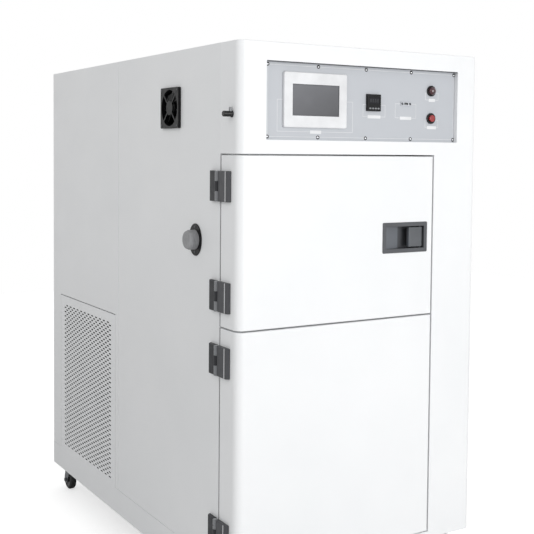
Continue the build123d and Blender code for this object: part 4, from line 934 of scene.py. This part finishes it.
class CHAMBER_OT_exhaust_fan(bpy.types.Operator):
    """Make the exhaust fan's rotor and its screws"""
    bl_idname = "chamber.exhaust_fan"
    bl_label = "Exhaust fan"

    def execute(self, context):
        wanted = context.scene.chamber_fan
        x, y, z = local_box("exhaust_fan_rotor")
        centre = (middle(y), middle(z))
        tip = (y[1] - y[0]) / 2
        hub = wanted.hub / MM
        half_turn = wanted.blade_span / 2
        blades = Shape()
        for index in range(wanted.blades):
            start = 2 * math.pi * index / wanted.blades
            self.blade(blades, centre, x, (hub - 0.5, tip), start, half_turn, wanted.sweep)
        body = "exhaust_fan_rotor"
        made = blades.piece("fan_blades", "gloss_black", body, [body], "black_plastic", 60)
        thick = made.modifiers.new("blade thickness", "SOLIDIFY")
        thick.thickness = wanted.blade_thickness
        thick.offset = 0
        profile = round_off([(x[0], 0), (x[0], hub), (x[1], hub), (x[1], 0)], 2.5, closed=False)
        Shape().turned(profile, centre, X).piece("fan_hub", "gloss_black", body, slot="black_plastic")
        housing = local_box("exhaust_fan_housing")
        inset = wanted.screw_inset / MM
        screws = Shape()
        head = ((1.6, 0), (1.4, 2.0), (0.7, 3.2), (-0.3, 3.4))
        for across in within(housing[Y], inset):
            for up in within(housing[Z], inset):
                screws.head(housing[X][0], head, (across, up), X)
        screws.piece("fan_screws", "dark_metal", "cabinet", slot="black_plastic")
        return {"FINISHED"}

    def blade(self, shape, centre, x, reach, start, half_turn, sweep):
        """One twisted blade between the hub and the tip, as a surface."""
        along_steps, out_steps = 8, 8
        width = (x[1] - x[0]) * 0.86
        rows = []
        for out_step in range(out_steps + 1):
            share = out_step / out_steps
            radius = reach[0] + (reach[1] - reach[0]) * share
            row = []
            for along_step in range(along_steps + 1):
                chord = along_step / along_steps - 0.5
                turn = start + chord * 2 * half_turn + sweep * share + 0.12 * (0.25 - chord * chord)
                place = (
                    middle(x) + chord * width * (1 - 0.18 * share),
                    centre[0] + radius * math.cos(turn),
                    centre[1] + radius * math.sin(turn),
                )
                row.append(shape.mesh.verts.new(place))
            rows.append(row)
        for near, far in zip(rows, rows[1:]):
            for step in range(along_steps):
                shape.mesh.faces.new((near[step], near[step + 1], far[step + 1], far[step]))


class CHAMBER_OT_cable_port(bpy.types.Operator):
    """Make the cable port's oval flange and its ribbed plug"""
    bl_idname = "chamber.cable_port"
    bl_label = "Cable port"

    def execute(self, context):
        wanted = context.scene.chamber_port
        x, y, z = local_box("cable_port_flange")
        centre = (middle(y), middle(z))
        bore = wanted.bore / MM
        wall = wanted.tube_wall / MM
        oval = ellipse(centre, (y[1] - y[0]) / 2, (z[1] - z[0]) / 2, 96)
        flange = Shape().sheet([oval, ellipse(centre, bore, bore)], x[0], -x[0], 1.0, "left")
        tube = [(x[0] / 2, bore), (x[1], bore), (x[1], bore + wall), (x[0] / 2, bore + wall)]
        flange.turned(tube, centre, X, closed=True)
        flange.piece("port_flange", "black_plastic", "cabinet", ["cable_port_flange"])
        screws = Shape()
        head = ((1.8, 0), (1.6, 2.2), (0.9, 3.4), (0, 3.6))
        for side in (-1, 1):
            up = centre[1] + side * (bore + (z[1] - z[0]) / 2) / 2
            screws.head(x[0], head, (centre[0], up), X)
        screws.piece("port_screws", "dark_metal", "cabinet", slot="black_plastic")
        plug = local_box("cable_port_plug")
        radius = (plug[Y][1] - plug[Y][0]) / 2
        outer, inner = plug[X]
        root = x[0] - 0.3
        profile = [(inner, 0), (inner, radius * 0.86), (inner - 4, radius * 0.89), (root, radius * 0.89)]
        rib = (root - outer - 6.0) / wanted.ribs
        for index in range(wanted.ribs):
            start = root - rib * index
            profile += [(start, radius - 1.6), (start, radius), (start - rib * 0.6, radius)]
            profile += [(start - rib * 0.6, radius - 1.6)]
        profile += [(outer + 5.0, radius - 1.6), (outer, radius - 4.0), (outer, radius * 0.62)]
        profile += [(outer + 1.6, radius * 0.5), (outer + 1.6, 0)]
        Shape().turned(round_off(profile, 1.0, closed=False, steps=3), centre, X, steps=96).piece(
            "port_plug", "grey_rubber", "cable_port_plug", ["cable_port_plug"]
        )
        return {"FINISHED"}


class CHAMBER_OT_side_latch(bpy.types.Operator):
    """Make the latch knob on the control housing's left side"""
    bl_idname = "chamber.side_latch"
    bl_label = "Side latch"

    def execute(self, context):
        wanted = context.scene.chamber_latch
        x, y, z = local_box("side_latch_knob")
        collar = wanted.collar / MM
        centre = (middle(y), z[1] - wanted.tab_height / MM)
        radius = wanted.knob / MM
        start = -0.3
        profile = [(x[0] + 2.5, 0), (x[0] + 2.5, radius), (start - 4.0, radius)]
        profile += [(start - 3.0, collar), (start, collar), (start, 5.0), (9.0, 5.0), (9.0, 0)]
        Shape().turned(round_off(profile, 1.4, closed=False, steps=4), centre, X).piece(
            "latch_knob", "gloss_black", "side_latch_knob", ["side_latch_knob"], "black_plastic"
        )
        tab_y = about(centre[0], wanted.tab_width / MM / 2)
        Shape().block((start - 8.5, start - 3.2), tab_y, (centre[1], z[1]), 1.2).piece(
            "latch_tab", "key_grey", "side_latch_knob", slot="black_plastic"
        )
        Shape().block((4.5, 7.5), about(centre[0], 7.0), (z[0], centre[1] + 5.0), 0.4).piece(
            "latch_cam", "galvanised", "side_latch_knob"
        )
        return {"FINISHED"}


class CHAMBER_OT_seals_and_shade(bpy.types.Operator):
    """Make the dark seals along the doors' hinged edges, and a dark strip under the window's top edge as
    painted shade
    """
    bl_idname = "chamber.seals"
    bl_label = "Edge seals and shade"

    def execute(self, context):
        for door in ("upper_door", "lower_door"):
            x, y, z = local_box(door + "_shell")
            depth = (y[1] - 0.5, y[1] + 6.2)
            strip = (x[0] + 2.0, x[0] + 6.0)
            Shape().block(strip, depth, within(z, 3.0), 0.8).piece(
                door + "_edge_seal", "seal_black", door, slot="seal_rubber"
            )
        # Painted shade: a charcoal strip under the window's top edge stands in for the shade on the
        # underside of the lip.
        x, y, z = local_box("control_panel")
        margin = 12.0
        top = z[1] - margin
        span = within(x, margin + 0.3)
        Shape().block(span, (1.5, y[0] - 0.2), (top - 1.6, top + 0.2), 0.4).piece(
            "window_lip_shade", "charcoal_plastic", "cabinet"
        )
        return {"FINISHED"}


class CHAMBER_OT_castors(bpy.types.Operator):
    """Make the castor wheels, axle nuts and plate bolts"""
    bl_idname = "chamber.castors"
    bl_label = "Castors"

    def execute(self, context):
        wanted = context.scene.chamber_castors
        bolts = Shape()
        for place in ("front_left", "front_right", "rear_left", "rear_right"):
            node = "castor_wheel_" + place
            x, y, z = local_box(node)
            centre = (middle(y), middle(z))
            radius = (y[1] - y[0]) / 2
            hub = radius * 0.68
            tyre = self.both_faces(x, [(0, hub), (0, radius - 5), (5, radius)])
            Shape().turned(round_off(tyre, 3.0), centre, X, closed=True, steps=96).piece(
                "tyre_" + place, "castor_tyre", node, [node]
            )
            boss = wanted.boss / MM
            axle = wanted.axle / MM
            side = [(1.0, hub), (3.0, hub - 2.5), (4.0, boss + 2), (0, boss), (0, axle)]
            disc = self.both_faces(x, side)
            Shape().turned(round_off(disc, 0.8), centre, X, closed=True, steps=96).piece(
                "hub_" + place, "gloss_black", node, slot="castor_tyre"
            )
            fork, fork_y = local_box("castor_fork_" + place)[:Z]
            nut = 8.0
            nuts = Shape()
            for outer, inward in ((fork[0], 1), (fork[1], -1)):
                hexagon = ellipse(centre, nut, nut, 6)
                levels = sorted((outer + inward * 0.2, outer + inward * 2.0))
                nuts.prism(hexagon, X, levels, 0.5)
            nuts.piece("axle_nuts_" + place, "dark_metal", "castor_fork_" + place, slot="castor_steel")
            self.plate_bolts(bolts, (middle(fork), fork_y[0] + KINGPIN_FROM_FORK_FRONT))
        bolts.piece("castor_bolts", "dark_metal", "cabinet", slot="castor_steel")
        return {"FINISHED"}

    def both_faces(self, x, side):
        """A wheel's profile from one side of it, as (depth, radius) points."""
        near = [(x[0] + depth, radius) for depth, radius in side]
        return near + [(x[1] - depth, radius) for depth, radius in reversed(side)]

    def plate_bolts(self, shape, centre):
        """Four hexagon heads under a castor's plate."""
        half_across, half_along, radius = 24.0, 36.0, 5.5
        under_plate = (-8.0, -4.0)
        for across in about(centre[0], half_across):
            for along in about(centre[1], half_along):
                shape.prism(ellipse((across, along), radius, radius, 6), Z, under_plate, 0.5)


# Stage

class CHAMBER_OT_stage(bpy.types.Operator):
    """Set the floor, the lights and the camera"""
    bl_idname = "chamber.stage"
    bl_label = "Stage"

    def execute(self, context):
        wanted = context.scene.chamber_stage
        self.camera(context, wanted)
        self.world(context, wanted)
        self.lights(context, wanted)
        self.floor(context, wanted)
        context.scene.view_settings.view_transform = "Standard"
        return {"FINISHED"}

    def camera(self, context, wanted):
        yaw, pitch, roll = wanted.yaw, wanted.pitch, wanted.roll
        ahead = Vector((math.sin(yaw) * math.cos(pitch), math.cos(yaw) * math.cos(pitch), math.sin(pitch)))
        across = Vector((math.cos(yaw), -math.sin(yaw), 0))
        up = across.cross(ahead)
        rolled_across = across * math.cos(roll) + up * math.sin(roll)
        rolled_up = up * math.cos(roll) - across * math.sin(roll)
        turn = Matrix((rolled_across, rolled_up, -ahead)).transposed().to_4x4()
        data = bpy.data.cameras.new("camera")
        data.lens = wanted.lens
        data.shift_y = wanted.rise
        camera = bpy.data.objects.new("camera", data)
        camera.matrix_world = Matrix.Translation(wanted.place) @ turn
        context.scene.collection.objects.link(camera)
        context.scene.camera = camera

    def world(self, context, wanted):
        """Plain light for surfaces, and a pale background for the camera and in reflections."""
        world = bpy.data.worlds.new("surroundings")
        world.use_nodes = True
        context.scene.world = world
        nodes, links = world.node_tree.nodes, world.node_tree.links
        plain = nodes["Background"]
        shown = nodes.new("ShaderNodeBackground")
        fill(plain, {"Color": (1, 1, 1, 1), "Strength": wanted.ambient})
        fill(shown, {"Color": (1, 1, 1, 1), "Strength": 1.0})
        rays = nodes.new("ShaderNodeLightPath").outputs
        reach = rays["Is Camera Ray"]
        for ray in ("Is Glossy Ray", "Is Transmission Ray"):
            most = nodes.new("ShaderNodeMath")
            most.operation = "MAXIMUM"
            links.new(reach, most.inputs[0])
            links.new(rays[ray], most.inputs[1])
            reach = most.outputs["Value"]
        mix = nodes.new("ShaderNodeMixShader")
        links.new(reach, mix.inputs["Fac"])
        links.new(plain.outputs["Background"], mix.inputs[1])
        links.new(shown.outputs["Background"], mix.inputs[2])
        links.new(mix.outputs["Shader"], nodes["World Output"].inputs["Surface"])

    def lights(self, context, wanted):
        centre = (CAD_BOX[0] + CAD_BOX[1]) / 2
        places = {
            "key_light": (Vector((0.9, -5.6, 1.7)), 2.4, wanted.key),
            "side_light": (Vector((-3.3, -2.0, 3.0)), 2.0, wanted.side),
        }
        for name, (place, size, power) in places.items():
            data = bpy.data.lights.new(name, "AREA")
            data.shape = "SQUARE"
            data.size = size
            data.energy = power
            lamp = bpy.data.objects.new(name, data)
            lamp.location = place
            lamp.rotation_euler = (centre - place).to_track_quat("-Z", "Y").to_euler()
            context.scene.collection.objects.link(lamp)

    def floor(self, context, wanted):
        half = 6.0
        corners = rectangle((-half, half), (-half, half))
        mesh = bpy.data.meshes.new("floor")
        mesh.from_pydata([(*corner, 0) for corner in corners], [], [(0, 1, 2, 3)])
        floor = bpy.data.objects.new("floor", mesh)
        context.scene.collection.objects.link(floor)
        finish = Finish("floor", wanted.floor, 0.8)
        finish.tint(finish.grain(1.2), 0.99, 1.0)
        shaded = finish.shader.outputs["BSDF"]
        glow = finish.add("Emission", Color=(1, 1, 1, 1), Strength=wanted.glow)
        whiten = finish.add("AddShader")
        mix = finish.add("MixShader")
        link = finish.links.new
        link(shaded, whiten.inputs[0])
        link(glow.outputs["Emission"], whiten.inputs[1])
        link(finish.add("LightPath").outputs["Is Camera Ray"], mix.inputs["Fac"])
        link(shaded, mix.inputs[1])
        link(whiten.outputs["Shader"], mix.inputs[2])
        link(mix.outputs["Shader"], finish.nodes["Material Output"].inputs["Surface"])
        floor.data.materials.append(finish.material)


class CHAMBER_PT_pieces(bpy.types.Panel):
    """Lists the chamber's pieces in the sidebar"""
    bl_idname = "CHAMBER_PT_pieces"
    bl_label = "Test chamber"
    bl_space_type = "VIEW_3D"
    bl_region_type = "UI"
    bl_category = "Chamber"

    def draw(self, context):
        for operator in PIECE_OPERATORS:
            self.layout.operator(operator.bl_idname)


SETTINGS = {
    "chamber_finishes": ChamberFinishes,
    "chamber_vents": ChamberVents,
    "chamber_panel": ChamberPanel,
    "chamber_hinges": ChamberHinges,
    "chamber_fan": ChamberFan,
    "chamber_port": ChamberPort,
    "chamber_latch": ChamberLatch,
    "chamber_castors": ChamberCastors,
    "chamber_stage": ChamberStage,
}
PIECE_OPERATORS = (
    CHAMBER_OT_finishes,
    CHAMBER_OT_vent_panel,
    CHAMBER_OT_panel_marks,
    CHAMBER_OT_panel_devices,
    CHAMBER_OT_hinges,
    CHAMBER_OT_handle,
    CHAMBER_OT_exhaust_fan,
    CHAMBER_OT_cable_port,
    CHAMBER_OT_side_latch,
    CHAMBER_OT_seals_and_shade,
    CHAMBER_OT_castors,
    CHAMBER_OT_stage,
)


def register():
    for name, group in SETTINGS.items():
        bpy.utils.register_class(group)
        setattr(bpy.types.Scene, name, PointerProperty(type=group))
    for operator in PIECE_OPERATORS:
        bpy.utils.register_class(operator)
    bpy.utils.register_class(CHAMBER_PT_pieces)


def unregister():
    bpy.utils.unregister_class(CHAMBER_PT_pieces)
    for operator in reversed(PIECE_OPERATORS):
        bpy.utils.unregister_class(operator)
    for name, group in reversed(SETTINGS.items()):
        delattr(bpy.types.Scene, name)
        bpy.utils.unregister_class(group)


def main():
    register()
    for operator in PIECE_OPERATORS:
        group, action = operator.bl_idname.split(".")
        getattr(getattr(bpy.ops, group), action)()


if __name__ == "__main__":
    main()
